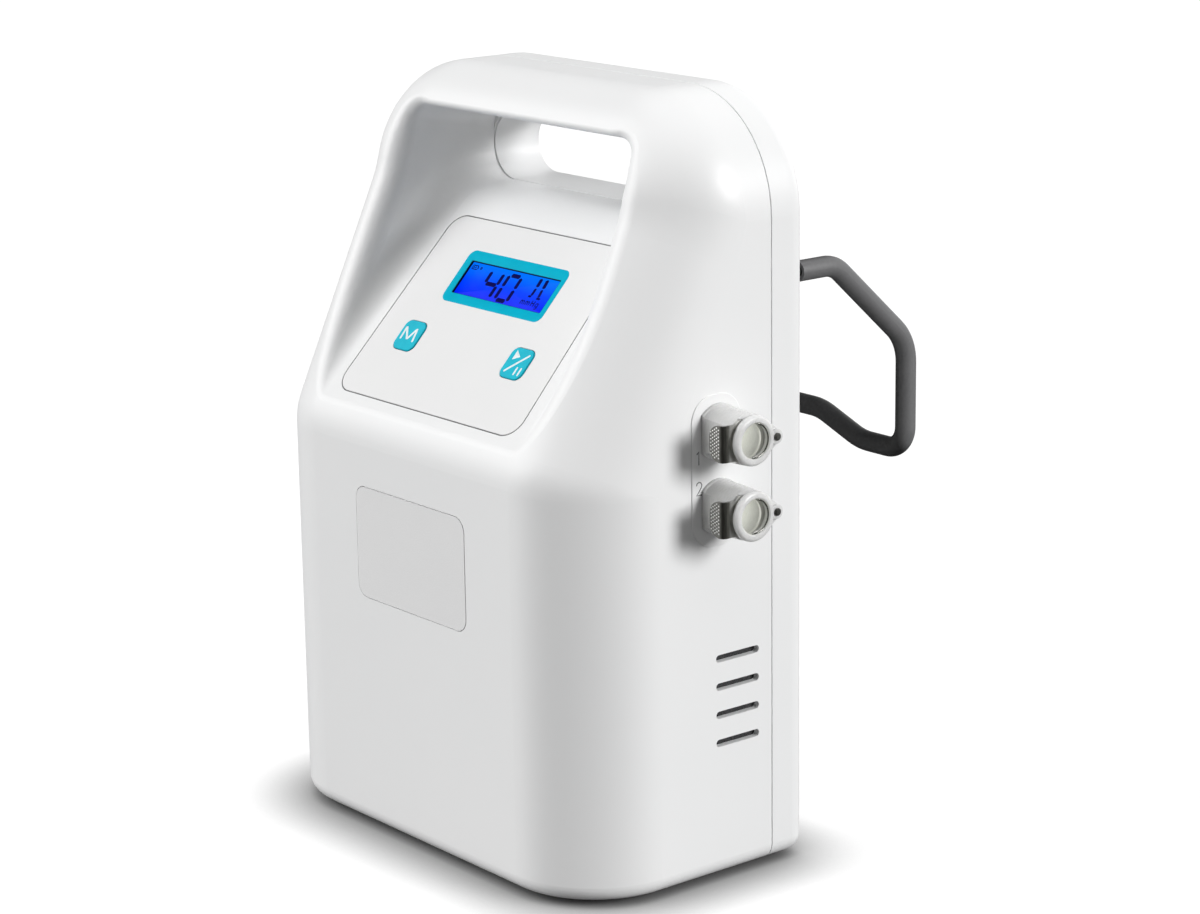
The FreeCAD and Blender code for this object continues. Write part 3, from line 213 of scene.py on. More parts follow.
# ---- finishes ----
class Finish:
    """One surface finish: a shader with its constants on its own sockets, and patterns that read
    the piece's object coordinates in metres."""

    def __init__(self, name, **constants):
        self.material = bpy.data.materials.new(name)
        self.material.use_nodes = True
        self.tree = self.material.node_tree
        self.shader = self.tree.nodes["Principled BSDF"]
        for socket, value in constants.items():
            self.shader.inputs[socket.replace("_", " ")].default_value = value
        self.place = self.add("ShaderNodeTexCoord").outputs["Object"]

    def add(self, kind, **settings):
        """A new node with its settings."""
        node = self.tree.nodes.new(kind)
        for key, value in settings.items():
            setattr(node, key, value)
        return node

    def join(self, source, target):
        """A link from one socket to another."""
        self.tree.links.new(source, target)

    def stretched(self, scale, turn=(0, 0, 0)):
        """Object coordinates turned, and scaled differently along each axis."""
        node = self.add("ShaderNodeMapping")
        node.inputs["Scale"].default_value = scale
        node.inputs["Rotation"].default_value = turn
        self.join(self.place, node.inputs["Vector"])
        return node.outputs["Vector"]

    def noise(self, scale, detail=2.0, rough=0.5, where=None):
        """Cloudy noise from 0 to 1, in object coordinates unless others are given."""
        node = self.add("ShaderNodeTexNoise")
        node.inputs["Scale"].default_value = scale
        node.inputs["Detail"].default_value = detail
        node.inputs["Roughness"].default_value = rough
        self.join(where or self.place, node.inputs["Vector"])
        return node.outputs["Fac"]

    def cells(self, scale, feature):
        """Distances in a pattern of cells: to the nearest middle or to the nearest edge."""
        node = self.add("ShaderNodeTexVoronoi", feature=feature)
        node.inputs["Scale"].default_value = scale
        self.join(self.place, node.inputs["Vector"])
        return node.outputs["Distance"]

    def along(self, axis):
        """One of the object's coordinates by itself."""
        node = self.add("ShaderNodeSeparateXYZ")
        self.join(self.place, node.inputs[0])
        return node.outputs[axis]

    def spread(self, value, low, high, from_low=0.0, from_high=1.0):
        """A value taken evenly from one range to another, and held at the ends."""
        node = self.add("ShaderNodeMapRange")
        for key, number in (("From Min", from_low), ("From Max", from_high),
                            ("To Min", low), ("To Max", high)):
            node.inputs[key].default_value = number
        self.join(value, node.inputs["Value"])
        return node.outputs["Result"]

    def between(self, axis, span, low, high):
        """Evenly from low to high between two places along an axis, in millimetres."""
        return self.spread(self.along(axis), low, high, span[0] * MM, span[1] * MM)

    def sums(self, operation, first, second=0.0):
        """One operation of arithmetic on sockets or plain numbers."""
        node = self.add("ShaderNodeMath", operation=operation)
        for k, value in enumerate((first, second)):
            if isinstance(value, (int, float)):
                node.inputs[k].default_value = value
            else:
                self.join(value, node.inputs[k])
        return node.outputs[0]

    def shades(self, value, stops):
        """A colour ramp: stops are (position, (r, g, b))."""
        node = self.add("ShaderNodeValToRGB")
        ramp = node.color_ramp
        while len(ramp.elements) < len(stops):
            ramp.elements.new(1.0)
        for element, (position, colour) in zip(ramp.elements, stops):
            element.position = position
            element.color = (*colour, 1)
        self.join(value, node.inputs["Fac"])
        return node.outputs["Color"]

    def colour(self, source):
        """The surface's own colour."""
        self.join(source, self.shader.inputs["Base Color"])

    def rough(self, source):
        """How matt the surface is."""
        self.join(source, self.shader.inputs["Roughness"])

    def bumps(self, height, strength, deep):
        """Relief so many metres deep, by a height from 0 to 1."""
        node = self.add("ShaderNodeBump")
        node.inputs["Strength"].default_value = strength
        node.inputs["Distance"].default_value = deep
        self.join(height, node.inputs["Height"])
        self.join(node.outputs["Normal"], self.shader.inputs["Normal"])


BRUSHED_DEEP = 0.00002           # metres, of brushed lines and turning marks


def moulded(name, light, dark, rough=(0.3, 0.4), grain=1400.0, deep=0.00003, strength=0.25,
            patch=9.0, **constants):
    """Moulded plastic: colour drifts slowly between two near shades, and a fine spark-eroded grain
    sets bump and roughness together."""
    made = Finish(name, **constants)
    made.colour(made.shades(made.noise(patch, 3.0), ((0.3, dark), (0.7, light))))
    fine = made.noise(grain, 3.0, 0.6)
    made.rough(made.spread(fine, *rough, 0.3, 0.7))
    made.bumps(fine, strength, deep)
    return made.material


def brushed(name, light, dark, rough=(0.25, 0.45), stretch=(300, 300, 6000), strength=0.3,
            **constants):
    """Drawn or brushed metal: noise stretched thin along one axis makes the lines."""
    made = Finish(name, Metallic=1.0, **constants)
    lines = made.noise(1.0, 4.0, 0.6, made.stretched(stretch))
    stain = made.noise(120.0, 2.0)
    made.colour(made.shades(made.sums("MULTIPLY", made.sums("ADD", lines, stain), 0.5),
                            ((0.35, dark), (0.65, light))))
    made.rough(made.spread(lines, *rough, 0.3, 0.7))
    made.bumps(lines, strength, BRUSHED_DEEP)
    return made.material


def case_finish():
    """White case: satin moulding, a little glossier where the fine grain is shallow."""
    return moulded("case_white_satin", (0.84, 0.84, 0.84), (0.815, 0.82, 0.822),
                   rough=(0.34, 0.42), grain=1600.0, deep=0.00003, strength=0.18, patch=7.0,
                   Specular_IOR_Level=0.4)


def panel_film_finish():
    """Hard-coated film: finer and flatter grain than the case, faint drift of shade."""
    return moulded("panel_film_velvet", (0.79, 0.79, 0.787), (0.765, 0.765, 0.765),
                   rough=(0.38, 0.5), grain=3800.0, deep=0.00001, strength=0.15, patch=14.0,
                   IOR=1.5)


def badge_finish():
    """Plain polycarbonate plate: smoother than the case round it and a shade greyer."""
    return moulded("badge_satin_plate", (0.80, 0.80, 0.80), (0.78, 0.78, 0.782), rough=(0.22, 0.3),
                   grain=3200.0, deep=0.00001, strength=0.12, patch=18.0, IOR=1.55)


def window_ink_finish():
    """Cyan ink behind a clear film: even and velvety, with the ink's faint mottle."""
    return moulded("window_cyan_ink", (0.0, 0.43, 0.60), (0.0, 0.40, 0.56), rough=(0.45, 0.55),
                   grain=2500.0, deep=0.00001, strength=0.1, patch=160.0, Specular_IOR_Level=0.03)


def key_ink_finish():
    """Teal key: the window's ink over a soft dome, slightly greener."""
    return moulded("key_teal_ink", (0.006, 0.50, 0.64), (0.004, 0.45, 0.59), rough=(0.4, 0.5),
                   grain=2600.0, deep=0.00001, strength=0.15, patch=220.0, Specular_IOR_Level=0.15)


BACKLIGHT_Z = (196.3, 207.2)     # from the lower to the upper edge of the lit glass


def backlight_finish():
    """Lit display: light from behind goes from deep blue at the lower edge to azure at the upper
    one, by the height of the glass, with a faint cloudiness in it."""
    made = Finish("display_backlight", Emission_Strength=0.9, Roughness=0.3,
                  Specular_IOR_Level=0.03)
    height = made.between("Z", BACKLIGHT_Z, 0.0, 1.0)
    cloud = made.spread(made.noise(90.0, 2.0), -0.12, 0.12)
    glow = made.shades(made.sums("ADD", height, cloud), ((0.0, (0.0, 0.012, 0.95)),
                                                         (0.45, (0.0, 0.06, 1.0)),
                                                         (1.0, (0.0, 0.21, 1.0))))
    made.join(glow, made.shader.inputs["Emission Color"])
    made.colour(made.shades(height, ((0.0, (0.0, 0.003, 0.10)), (1.0, (0.0, 0.02, 0.16)))))
    return made.material


def segment_finish():
    """Driven liquid crystal: nearly black navy, a shade lighter in the cells' mottle."""
    return moulded("display_segment_ink", (0.0, 0.0, 0.10), (0.0, 0.0, 0.07), rough=(0.5, 0.6),
                   grain=2500.0, deep=0.000005, strength=0.1, patch=300.0,
                   Specular_IOR_Level=0.03)


def opening_shade_finish():
    """Near-black wall between the window's ink and the glass, coloured as painted shade."""
    return moulded("opening_wall_painted_shade", (0.002, 0.008, 0.03), (0.001, 0.004, 0.02),
                   rough=(0.45, 0.6), grain=3000.0, patch=400.0, Specular_IOR_Level=0.1)


def white_ink_finish():
    """Screen-printed white: fine grain, with patches where the ink lies thinner and greyer."""
    return moulded("white_sign_ink", (0.80, 0.86, 0.86), (0.70, 0.79, 0.80), rough=(0.35, 0.45),
                   grain=4000.0, deep=0.000005, strength=0.1, patch=500.0)


def grey_ink_finish():
    """Pad-printed grey: fine grain, with patches where the ink lies thicker and darker."""
    return moulded("grey_figure_ink", (0.17, 0.17, 0.175), (0.12, 0.12, 0.125), rough=(0.4, 0.5),
                   grain=4000.0, deep=0.000005, strength=0.1, patch=500.0)


def groove_shade_finish():
    """Painted shade for the groove round the panel film: dark grey, with a slow drift of tone."""
    return moulded("groove_painted_shade", (0.22, 0.22, 0.225), (0.15, 0.15, 0.155), rough=(0.55, 0.7),
                   grain=1800.0, patch=60.0, Specular_IOR_Level=0.2)


def port_plate_finish():
    """Plate behind the couplings: the case's white, finer in grain and a little glossier."""
    return moulded("port_plate_white", (0.84, 0.84, 0.84), (0.81, 0.815, 0.815), rough=(0.3, 0.4),
                   grain=2000.0, deep=0.00002, strength=0.15, patch=30.0)


BORE_GLOW_FADE_X = (99.3, 109.2)       # painted glow: from a bore's floor to where it has faded
BORE_MOUTH_GLOW_X = (110.0, 110.4)    # where the painted glow at the mouth starts, and where it is full


def coupling_finish(number):
    """Milky acetal: light gets in a little way, with faint clouds and turning marks.  Inside the
    bore, by distance from its axis, the wall carries painted shade, darker and greener towards
    its +Y side, and a painted glow, less and less from the floor to the latch, and again at
    its mouth."""
    made = Finish("coupling_%d_milky_acetal" % number, IOR=1.48, Subsurface_Weight=0.5,
                  Subsurface_Scale=0.005, Subsurface_Radius=(1.0, 1.0, 0.95),
                  Emission_Strength=1.0)
    clouds = made.noise(160.0, 4.0, 0.6)
    from_axis = made.sums("SUBTRACT", made.along("Y"), PORT_Y * MM)
    above_axis = made.sums("SUBTRACT", made.along("Z"), PORT_Z[number - 1] * MM)
    squares = made.sums("ADD", made.sums("MULTIPLY", from_axis, from_axis),
                        made.sums("MULTIPLY", above_axis, above_axis))
    far = made.sums("MULTIPLY", made.sums("SQRT", squares), 1 / MM)
    inside = made.spread(far, 1.0, 0.0, BORE_R + 0.02, BORE_R + 0.3)
    # painted glow: strongest at the bore's floor, fading to the latch, and again at the mouth
    painted_floor_glow = made.between("X", BORE_GLOW_FADE_X, 0.95, 0.05)
    mouth = made.between("X", BORE_MOUTH_GLOW_X, 0.0, 0.35)
    glow = made.sums("MULTIPLY", inside, made.sums("MAXIMUM", painted_floor_glow, mouth))
    # painted shade inside the bore, darker towards its +Y side
    painted_shade_mix = made.sums("MULTIPLY", inside, made.spread(from_axis, 0.3, 1.0, -0.5 * BORE_R * MM,
                                                     BORE_R * MM))
    shade = made.sums("SUBTRACT", made.spread(clouds, 0.85, 1.0, 0.3, 0.7),
                      made.sums("MULTIPLY", painted_shade_mix, 0.3))
    # the painted glow is fed to the emission
    made.join(made.shades(glow, ((0.0, (0.0, 0.0, 0.0)), (1.0, (0.370, 0.375, 0.340)))),
              made.shader.inputs["Emission Color"])
    # the darkest, greener stop is reached by the painted shade in the bore
    made.colour(made.shades(shade, ((0.25, (0.36, 0.37, 0.33)), (0.85, (0.645, 0.645, 0.64)),
                                    (1.0, (0.72, 0.72, 0.715)))))
    fine = made.noise(1.0, 2.0, 0.5, made.stretched((9000, 500, 500)))
    made.rough(made.spread(fine, 0.22, 0.34, 0.3, 0.7))
    made.bumps(fine, 0.12, BRUSHED_DEEP)
    return made.material


STRIP_BEND_X = (109.0, 109.7)    # where the thumb tab ends, and where the painted shade of its bend is darkest
BEND_SHADE_Y = (-1.7, 1.2)          # painted shade across the strip, from the dark side to where it has cleared
BORE_LIGHT_Y = (3.0, 5.0)            # painted light: from where the strip starts to lighten inside the bore to where it is bright


def latch_finish():
    """Stainless strip, brushed across.  The tab keeps its matt brushing; the face under the ring
    carries painted shade, dark where the bend starts and clearing across the strip, up to
    painted light on the plate inside the bore."""
    made = Finish("latch_stainless", Metallic=1.0)
    lines = made.noise(1.0, 4.0, 0.6, made.stretched((5200, 500, 260)))
    # painted shade at the bend, clearing across the strip, less the painted light inside the bore
    face = made.between("X", STRIP_BEND_X, 0.0, 1.0)
    across = made.between("Y", BEND_SHADE_Y, 0.42, -0.12)
    painted_bore_light = made.between("Y", BORE_LIGHT_Y, 0.0, 0.4)
    dark = made.sums("SUBTRACT", made.sums("MULTIPLY", face, across), painted_bore_light)
    painted_shade_mix = made.sums("SUBTRACT", made.spread(lines, 0.38, 0.52), dark)
    # the ramp's dark stops are reached by the painted shade
    made.colour(made.shades(painted_shade_mix, ((0.0, (0.035, 0.035, 0.03)), (0.4, (0.14, 0.14, 0.125)),
                                   (0.7, (0.52, 0.52, 0.50)), (1.0, (0.72, 0.72, 0.70)))))
    made.rough(made.spread(lines, 0.30, 0.48, 0.3, 0.7))
    made.bumps(lines, 0.2, BRUSHED_DEEP)
    return made.material


SLEEVE_ARM_X = 74.6      # centre lines of the hook's arms, to the right and left
SLEEVE_LIGHT_REACH = 2.6       # how far outside them the painted highlight is strongest


def sleeve_finish():
    """Black vinyl sleeve with a fine pebbled skin.  Its arms carry a painted highlight, a lighter
    grey on their outer sides, by how far each point is outside the arms' centre lines."""
    made = Finish("hook_black_vinyl", Specular_IOR_Level=0.5)
    pebbles = made.cells(900.0, "SMOOTH_F1")
    drift = made.noise(40.0, 4.0)
    outwards = made.sums("ABSOLUTE", made.along("X"))
    # painted highlight: lighter on the arms' outer sides
    painted_highlight_side = made.spread(outwards, 0.0, 0.9, SLEEVE_ARM_X * MM,
                          (SLEEVE_ARM_X + SLEEVE_LIGHT_REACH) * MM)
    mottle = made.sums("ADD", made.sums("MULTIPLY", pebbles, 0.35),
                       made.sums("MULTIPLY", drift, 0.65))
    highlight_and_mottle = made.sums("ADD", painted_highlight_side, made.spread(mottle, -0.06, 0.10, 0.3, 0.7))
    # the lighter grey stop is the painted highlight, varied by the skin's mottle
    made.colour(made.shades(highlight_and_mottle, ((0.0, (0.010, 0.010, 0.0105)), (1.0, (0.150, 0.150, 0.153)))))
    made.rough(made.spread(drift, 0.50, 0.62, 0.3, 0.7))
    made.bumps(pebbles, 0.35, 0.00006)
    return made.material


def foam_finish():
    """Open-cell foam: dark pores between a web of strands."""
    made = Finish("filter_open_foam", Roughness=0.95)
    pores = made.cells(1500.0, "DISTANCE_TO_EDGE")
    made.colour(made.shades(pores, ((0.0, (0.05, 0.05, 0.052)), (0.25, (0.008, 0.008, 0.009)))))
    made.bumps(pores, 0.8, 0.0004)
    return made.material


def board_finish():
    """Circuit board: green lacquer over copper runs, which show as a lighter pattern of bars."""
    made = Finish("board_green_lacquer", IOR=1.5)
    node = made.add("ShaderNodeTexBrick")
    node.inputs["Scale"].default_value = 160.0
    node.inputs["Mortar Size"].default_value = 0.012
    made.join(made.stretched((1, 1, 1), (math.pi / 2, 0, 0)), node.inputs["Vector"])
    made.colour(made.shades(node.outputs["Fac"], ((0.4, (0.010, 0.105, 0.040)),
                                                  (0.6, (0.040, 0.21, 0.085)))))
    made.rough(made.spread(made.noise(300.0), 0.28, 0.42, 0.3, 0.7))
    made.bumps(node.outputs["Fac"], 0.3, 0.00004)
    return made.material


def hose_finish():
    """Milky silicone: light gets in a little way, and the shade drifts slowly along the run."""
    made = Finish("hose_milky_silicone", IOR=1.41, Subsurface_Weight=0.5, Subsurface_Scale=0.004)
    run = made.noise(60.0, 3.0)
    made.colour(made.shades(run, ((0.3, (0.60, 0.63, 0.62)), (0.7, (0.70, 0.72, 0.71)))))
    made.rough(made.spread(made.noise(900.0), 0.3, 0.45, 0.3, 0.7))
    made.bumps(made.noise(1200.0), 0.1, 0.00003)
    return made.material


def wrap_finish():
    """Shrink film round the cells: glossy blue with tight wrinkles."""
    made = Finish("battery_shrink_film", IOR=1.5)
    wrinkles = made.noise(1.0, 5.0, 0.55, made.stretched((60, 60, 500)))
    made.colour(made.shades(wrinkles, ((0.3, (0.03, 0.09, 0.26)), (0.7, (0.06, 0.16, 0.38)))))
    made.rough(made.spread(wrinkles, 0.18, 0.32, 0.3, 0.7))
    made.bumps(wrinkles, 0.35, 0.0002)
    return made.material


# ---- printed, pressed and glazed pieces ----
WINDOW_UP = 54.9         # middle of the window's frame, up the slope
WINDOW_HALF_WIDE = 28.7
WINDOW_HALF_TALL = 11.2
WINDOW_CORNER = 3.2
OPENING = (-25.1, 26.2, 47.5, 61.8)      # its left, right, lower and upper edge
OPENING_CORNER = 0.5
GLASS_CORNER = 0.4
GLASS_GAP = 0.05         # round the glass, in the opening
GLASS_THICK = 0.1
GLASS_ROLL = 0.05        # how far in its edges are rolled, and how high
GLASS_RIM = 0.03
GLASS_LEVEL = -0.86


def middle_and_half(left, right, low, high):
    """Middle of a rectangle and its half sizes, from its edges."""
    return ((left + right) / 2, (low + high) / 2), ((right - left) / 2, (high - low) / 2)


def display_window(finish):
    """Frame of the window: a flat ring whose outer loop is a rounded rectangle and whose inner
    loop is the opening, with soft edges; the profile goes up the outside, over the face, down
    the inside and back underneath."""
    (across, up), half = middle_and_half(*OPENING)
    opening = rounded_loop(*half, OPENING_CORNER)
    outside = [(0.0, -0.78), (0.0, 0.02), (0.06, 0.08), (0.2, 0.1)]             # inset, level
    inside = [(0.014, 0.1), (0.003, 0.07), (0.0, -0.02), (0.0, -0.78)]          # growth, level
    loops = [rounded_loop(WINDOW_HALF_WIDE - inset, WINDOW_HALF_TALL - inset,
                          WINDOW_CORNER - inset) for inset, level in outside]
    loops += [opening * (1 + growth) + (across, up - WINDOW_UP) for growth, level in inside]
    ring = stacked_loops(loops, [level for shift, level in outside + inside], (0.0, WINDOW_UP))
    made = make_piece("display_window", [onto_panel(ring)], "housing", finish,
                      wrap_rows=True)
    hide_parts("lcd_window")


def display_glass(finish):
    """A thin pane: loops shrink to its middle below and above, with a rolled rim between."""
    left, right, low, high = OPENING
    middle, (wide, tall) = middle_and_half(left + GLASS_GAP, right - GLASS_GAP,
                                           low + GLASS_GAP, high - GLASS_GAP)
    loops, heights = [], []
    for share, inset, drop in ((0.0, 0.0, GLASS_THICK), (1.0, GLASS_ROLL, GLASS_THICK),
                               (1.0, 0.0, GLASS_THICK - GLASS_RIM), (1.0, 0.0, GLASS_RIM),
                               (1.0, GLASS_ROLL, 0.0), (0.0, 0.0, 0.0)):
        loops.append(share * rounded_loop(wide - inset, tall - inset, GLASS_CORNER))
        heights.append(GLASS_LEVEL - drop)
    pane = stacked_loops(loops, heights, middle)
    make_piece("display_glass", [onto_panel(pane)], "housing", finish)


def display_opening_wall(finish):
    """Dark lip inside the opening, coloured as painted shade: a thin wall round it, from under the
    face to the glass.
    """
    middle, (wide, tall) = middle_and_half(*OPENING)
    profile = ((0.01, 0.5, -0.80), (0.01, 0.5, -0.02),      # inset, corner's radius, level
               (0.16, 0.4, -0.04), (0.16, 0.4, -0.80))
    loops = [rounded_loop(wide - inset, tall - inset, corner) for inset, corner, level in profile]
    wall = stacked_loops(loops, [level for inset, corner, level in profile], middle)
    make_piece("display_opening_wall", [onto_panel(wall)], "housing", finish,
               wrap_rows=True)


# a figure of the display: how far apart its upright bars stand, its lowest and highest bars, the
# bars' half width, and how far short of the figure's corners each kind stops
FIGURE_WIDE = 6.9
FIGURE_LOW = 49.2
FIGURE_HIGH = 59.8
BAR_HALF = 0.86
UPRIGHT_SHORT = 0.25
MIDDLE_SHORT = 0.45
END_SHORT = 0.9
FOUR_LEFT = -12.25
NOUGHT_LEFT = -2.1

# how far each kind of stroke stands up from its face
BAR_HIGH = 0.03
SMALL_STROKE_HIGH = 0.02
SIGN_HIGH = 0.05

PULSE_SIGN = (((15.1, 61.2), (15.3, 57.4), 0.86), ((15.3, 57.0), (15.2, 53.8), 0.62),
              ((13.7, 53.4), (15.5, 53.5), 0.42), ((18.5, 61.2), (18.9, 57.3), 0.86),
              ((18.8, 57.0), (19.3, 53.6), 0.62), ((18.5, 53.2), (20.7, 53.2), 0.42))
SMALL_M = (((0, 0), (0, 1.6), 0.2), ((0, 1.3), (0.5, 1.6), (0.95, 1.2), (0.95, 0), 0.2),
           ((0.95, 1.2), (1.45, 1.6), (1.9, 1.2), (1.9, 0), 0.2))
CAPITAL_H = (((0, 0), (0, 2.3), 0.21), ((1.4, 0), (1.4, 2.3), 0.21), ((0, 1.2), (1.4, 1.2), 0.19))
SMALL_G = (((1.3, 1.25), (0.9, 1.55), (0.4, 1.5), (0.05, 1.0), (0.1, 0.4), (0.55, 0.05),
            (1.1, 0.2), (1.3, 0.65), 0.19),
           ((1.3, 1.55), (1.3, -0.45), (0.9, -0.85), (0.25, -0.75), 0.19))
UNIT_FOOT = 49.8
UNIT_LETTERS = ((SMALL_M, 11.9), (SMALL_M, 14.7), (CAPITAL_H, 17.8), (SMALL_G, 20.2))
BATTERY_SIGN = (((-24.0, 58.9), (-21.0, 58.9), 0.19), ((-24.0, 60.5), (-21.0, 60.5), 0.19),
                ((-24.0, 58.9), (-24.0, 60.5), 0.19), ((-21.0, 58.9), (-21.0, 60.5), 0.19),
                ((-20.6, 59.4), (-20.6, 60.0), 0.2), ((-23.2, 59.3), (-23.2, 60.1), 0.32),
                ((-22.2, 59.3), (-22.2, 60.1), 0.32), ((-19.6, 60.1), (-18.3, 60.1), 0.2),
                ((-19.4, 59.8), (-18.95, 59.3), (-18.5, 59.8), 0.24))


def seven_bars(left, lit):
    """Bars of a figure eight: three across, at the foot, the middle and the top, and two up each
    side, each stopping short of the corners it runs between.  Only those named are lit."""
    right = left + FIGURE_WIDE
    middle = (FIGURE_LOW + FIGURE_HIGH) / 2
    across = {"foot": (FIGURE_LOW, END_SHORT), "middle": (middle, MIDDLE_SHORT),
              "top": (FIGURE_HIGH, END_SHORT)}
    upright = {"lower_left": (left, FIGURE_LOW, middle), "upper_left": (left, middle, FIGURE_HIGH),
               "lower_right": (right, FIGURE_LOW, middle),
               "upper_right": (right, middle, FIGURE_HIGH)}
    bars = []
    for name in lit.split():
        if name in across:
            height, short = across[name]
            bars.append(((left + short, height), (right - short, height), BAR_HALF))
        else:
            at, low, high = upright[name]
            bars.append(((at, low + UPRIGHT_SHORT), (at, high - UPRIGHT_SHORT), BAR_HALF))
    return bars


def display_figures(finish):
    """The display's reading: bars with pointed ends for the large figures and the pulse sign, and
    thin round-ended strokes for the unit of pressure and the battery sign."""
    lit = seven_bars(FOUR_LEFT, "upper_left middle upper_right lower_right")
    lit += seven_bars(NOUGHT_LEFT, "top upper_left lower_left foot lower_right upper_right")
    bars = [((a, b), half, BAR_HIGH) for a, b, half in lit + list(PULSE_SIGN)]
    printed("display_figures", bars, onto_panel, GLASS_LEVEL, "housing", finish,
            tip="pointed")
    small = []
    for letter, across in UNIT_LETTERS:
        small += [(shifted(stroke[:-1], across, UNIT_FOOT), stroke[-1], SMALL_STROKE_HIGH)
                  for stroke in letter]
    small += [(stroke[:-1], stroke[-1], SMALL_STROKE_HIGH) for stroke in BATTERY_SIGN]
    printed("display_small_signs", small, onto_panel, GLASS_LEVEL, "housing", finish)


MODE_LETTER = ((((-35.1, 24.6), (-35.4, 30.0)), 0.5), (((-35.4, 30.0), (-31.5, 25.1)), 0.48),
               (((-31.5, 25.1), (-29.2, 30.0)), 0.48), (((-29.2, 30.0), (-27.7, 24.4)), 0.5))
START_SIGN = ((((27.4, 22.8), (35.7, 31.0)), 0.45), (((33.2, 25.6), (33.2, 22.2)), 0.42),
              (((35.4, 25.6), (35.4, 22.2)), 0.42))
START_ARROW = ((27.9, 31.8), (27.9, 27.8), (31.2, 29.5))


def key_signs(finish):
    """A letter for the mode key, and a slash, two bars and an arrow for the start key.  The arrow
    is a triangle: its rim shrinks to its middle below and above, with a soft edge between."""
    printed("mode_key_letter", [(line, half, SIGN_HIGH) for line, half in MODE_LETTER],
            onto_panel, KEY_TOP, "mode_button", finish)
    printed("start_key_sign", [(line, half, SIGN_HIGH) for line, half in START_SIGN],
            onto_panel, KEY_TOP, "start_button", finish)
    corners = np.array(START_ARROW)
    middle = corners.mean(axis=0)
    step = np.linspace(0, 1, 7)[:-1]
    rim = np.concatenate([a + (b - a) * step[:, None]
                          for a, b in zip(corners, np.roll(corners, -1, axis=0))])
    rows = ((0.0, -INK_SINK), (1.0, -INK_SINK), (1.0, 0.02), (0.93, SIGN_HIGH), (0.0, SIGN_HIGH))
    arrow = stacked_loops([(rim - middle) * share for share, lift in rows],
                          [KEY_TOP + lift for share, lift in rows], middle)
    make_piece("start_key_arrow", [onto_panel(arrow)], "start_button", finish,
               crease=60.0)


PORT_ONE = (((0.45, 156.4), (1.4, 157.3), (1.4, 152.6)),)
PORT_TWO = (((0.25, 145.5), (0.55, 146.3), (1.35, 146.7), (2.2, 146.4), (2.65, 145.6),
             (2.4, 144.7), (1.5, 143.5), (0.3, 142.1), (2.9, 142.1)),)
PORT_INK_HALF = 0.24     # half width of the strokes
SWITCH_ACROSS = 50.0     # middle of the power switch, as the back is read
SWITCH_LINE = (46.8, 50.6)
SWITCH_RING_UP = 19.2
SWITCH_RING_R = 1.8
SWITCH_INK_HALF = 0.3


def port_figures(finish):
    """1 and 2 beside the couplings, and the line and ring of the power switch on the back."""
    strokes = [(line, PORT_INK_HALF, SIGN_HIGH) for line in PORT_ONE + PORT_TWO]
    printed("port_figures", strokes, onto_port_plate, 0.0, "housing", finish)
    turn = np.linspace(0, 2 * math.pi, 33)
    ring = np.column_stack((SWITCH_ACROSS + SWITCH_RING_R * np.cos(turn),
                            SWITCH_RING_UP + SWITCH_RING_R * np.sin(turn)))
    line = [(SWITCH_ACROSS, up) for up in SWITCH_LINE]
    marks = [(line, SWITCH_INK_HALF, SIGN_HIGH), (ring, SWITCH_INK_HALF, SIGN_HIGH)]
    printed("switch_figures", marks, onto_back, 0.0, "housing", finish)


THUMB_TAB_Y = -2.2       # outer face of a thumb tab
TAB_HALF = 6.3           # its half height
TAB_CORNER = 4.6         # radius of its rear corners
TAB_CORNER_X = 108.2
PIP_ROWS = (104.5, 108.7, 0.95)      # from, to and by how much along X
PIP_REACH = 4.8          # of a row, up and down
PIP_PITCH = 1.2          # along it; every other row is half a pitch higher
PIP_MARGIN = 0.7         # bare metal inside the tab's edge
PIP_R = 0.36
PIP_HIGH = 0.2


def thumb_pips(number, finish):
    """Rows of pressed pips on a thumb tab: each is a shallow cap, its radius falling as the cosine
    and its height rising as the sine of the same angle, repeated at staggered centres."""
    x = np.arange(*PIP_ROWS)
    z = np.arange(-PIP_REACH, PIP_REACH + 0.1, PIP_PITCH)
    grid_x, grid_z = np.meshgrid(x, z, indexing="ij")
    grid_z = grid_z + np.where(np.arange(len(x))[:, None] % 2, PIP_PITCH / 2, 0.0)
    corner = np.sqrt(np.clip(TAB_CORNER ** 2 - (TAB_CORNER_X - grid_x) ** 2, 0, None))
    edge = np.minimum(TAB_HALF, TAB_HALF - TAB_CORNER + corner)
    keep = np.abs(grid_z) < edge - PIP_MARGIN
    centres = np.column_stack((grid_x[keep], grid_z[keep]))
    lift = np.linspace(-0.2, math.pi / 2, 5)
    turn = np.linspace(0, 2 * math.pi, 9)[:-1]
    radius, high = PIP_R * np.cos(lift), PIP_HIGH * np.sin(lift)
    px = centres[:, None, None, 0] + radius[None, :, None] * np.cos(turn)
    pz = centres[:, None, None, 1] + radius[None, :, None] * np.sin(turn)
    py = np.broadcast_to(THUMB_TAB_Y - high[None, :, None], px.shape)
    caps = np.stack((px, py, pz + PORT_Z[number - 1]), axis=-1) * MM
    floor = caps.mean(axis=2, keepdims=True)[:, :1].repeat(len(turn), axis=2)
    caps = np.concatenate((floor, caps), axis=1)
    make_piece("latch_%d_pips" % number, caps, "latch_%d" % number, finish)


LATCH_FLAT_Y = 2.6       # flat of the coupling's body, behind the thumb tab
BOW_FROM_X = 101.9
BOW_LONG = 5.4
BOW_RISE = 1.7
LEAF_THICK = 0.4
LEAF_WIDE = 6.0
LEAF_EDGE = 0.12         # radius of its rounded edges


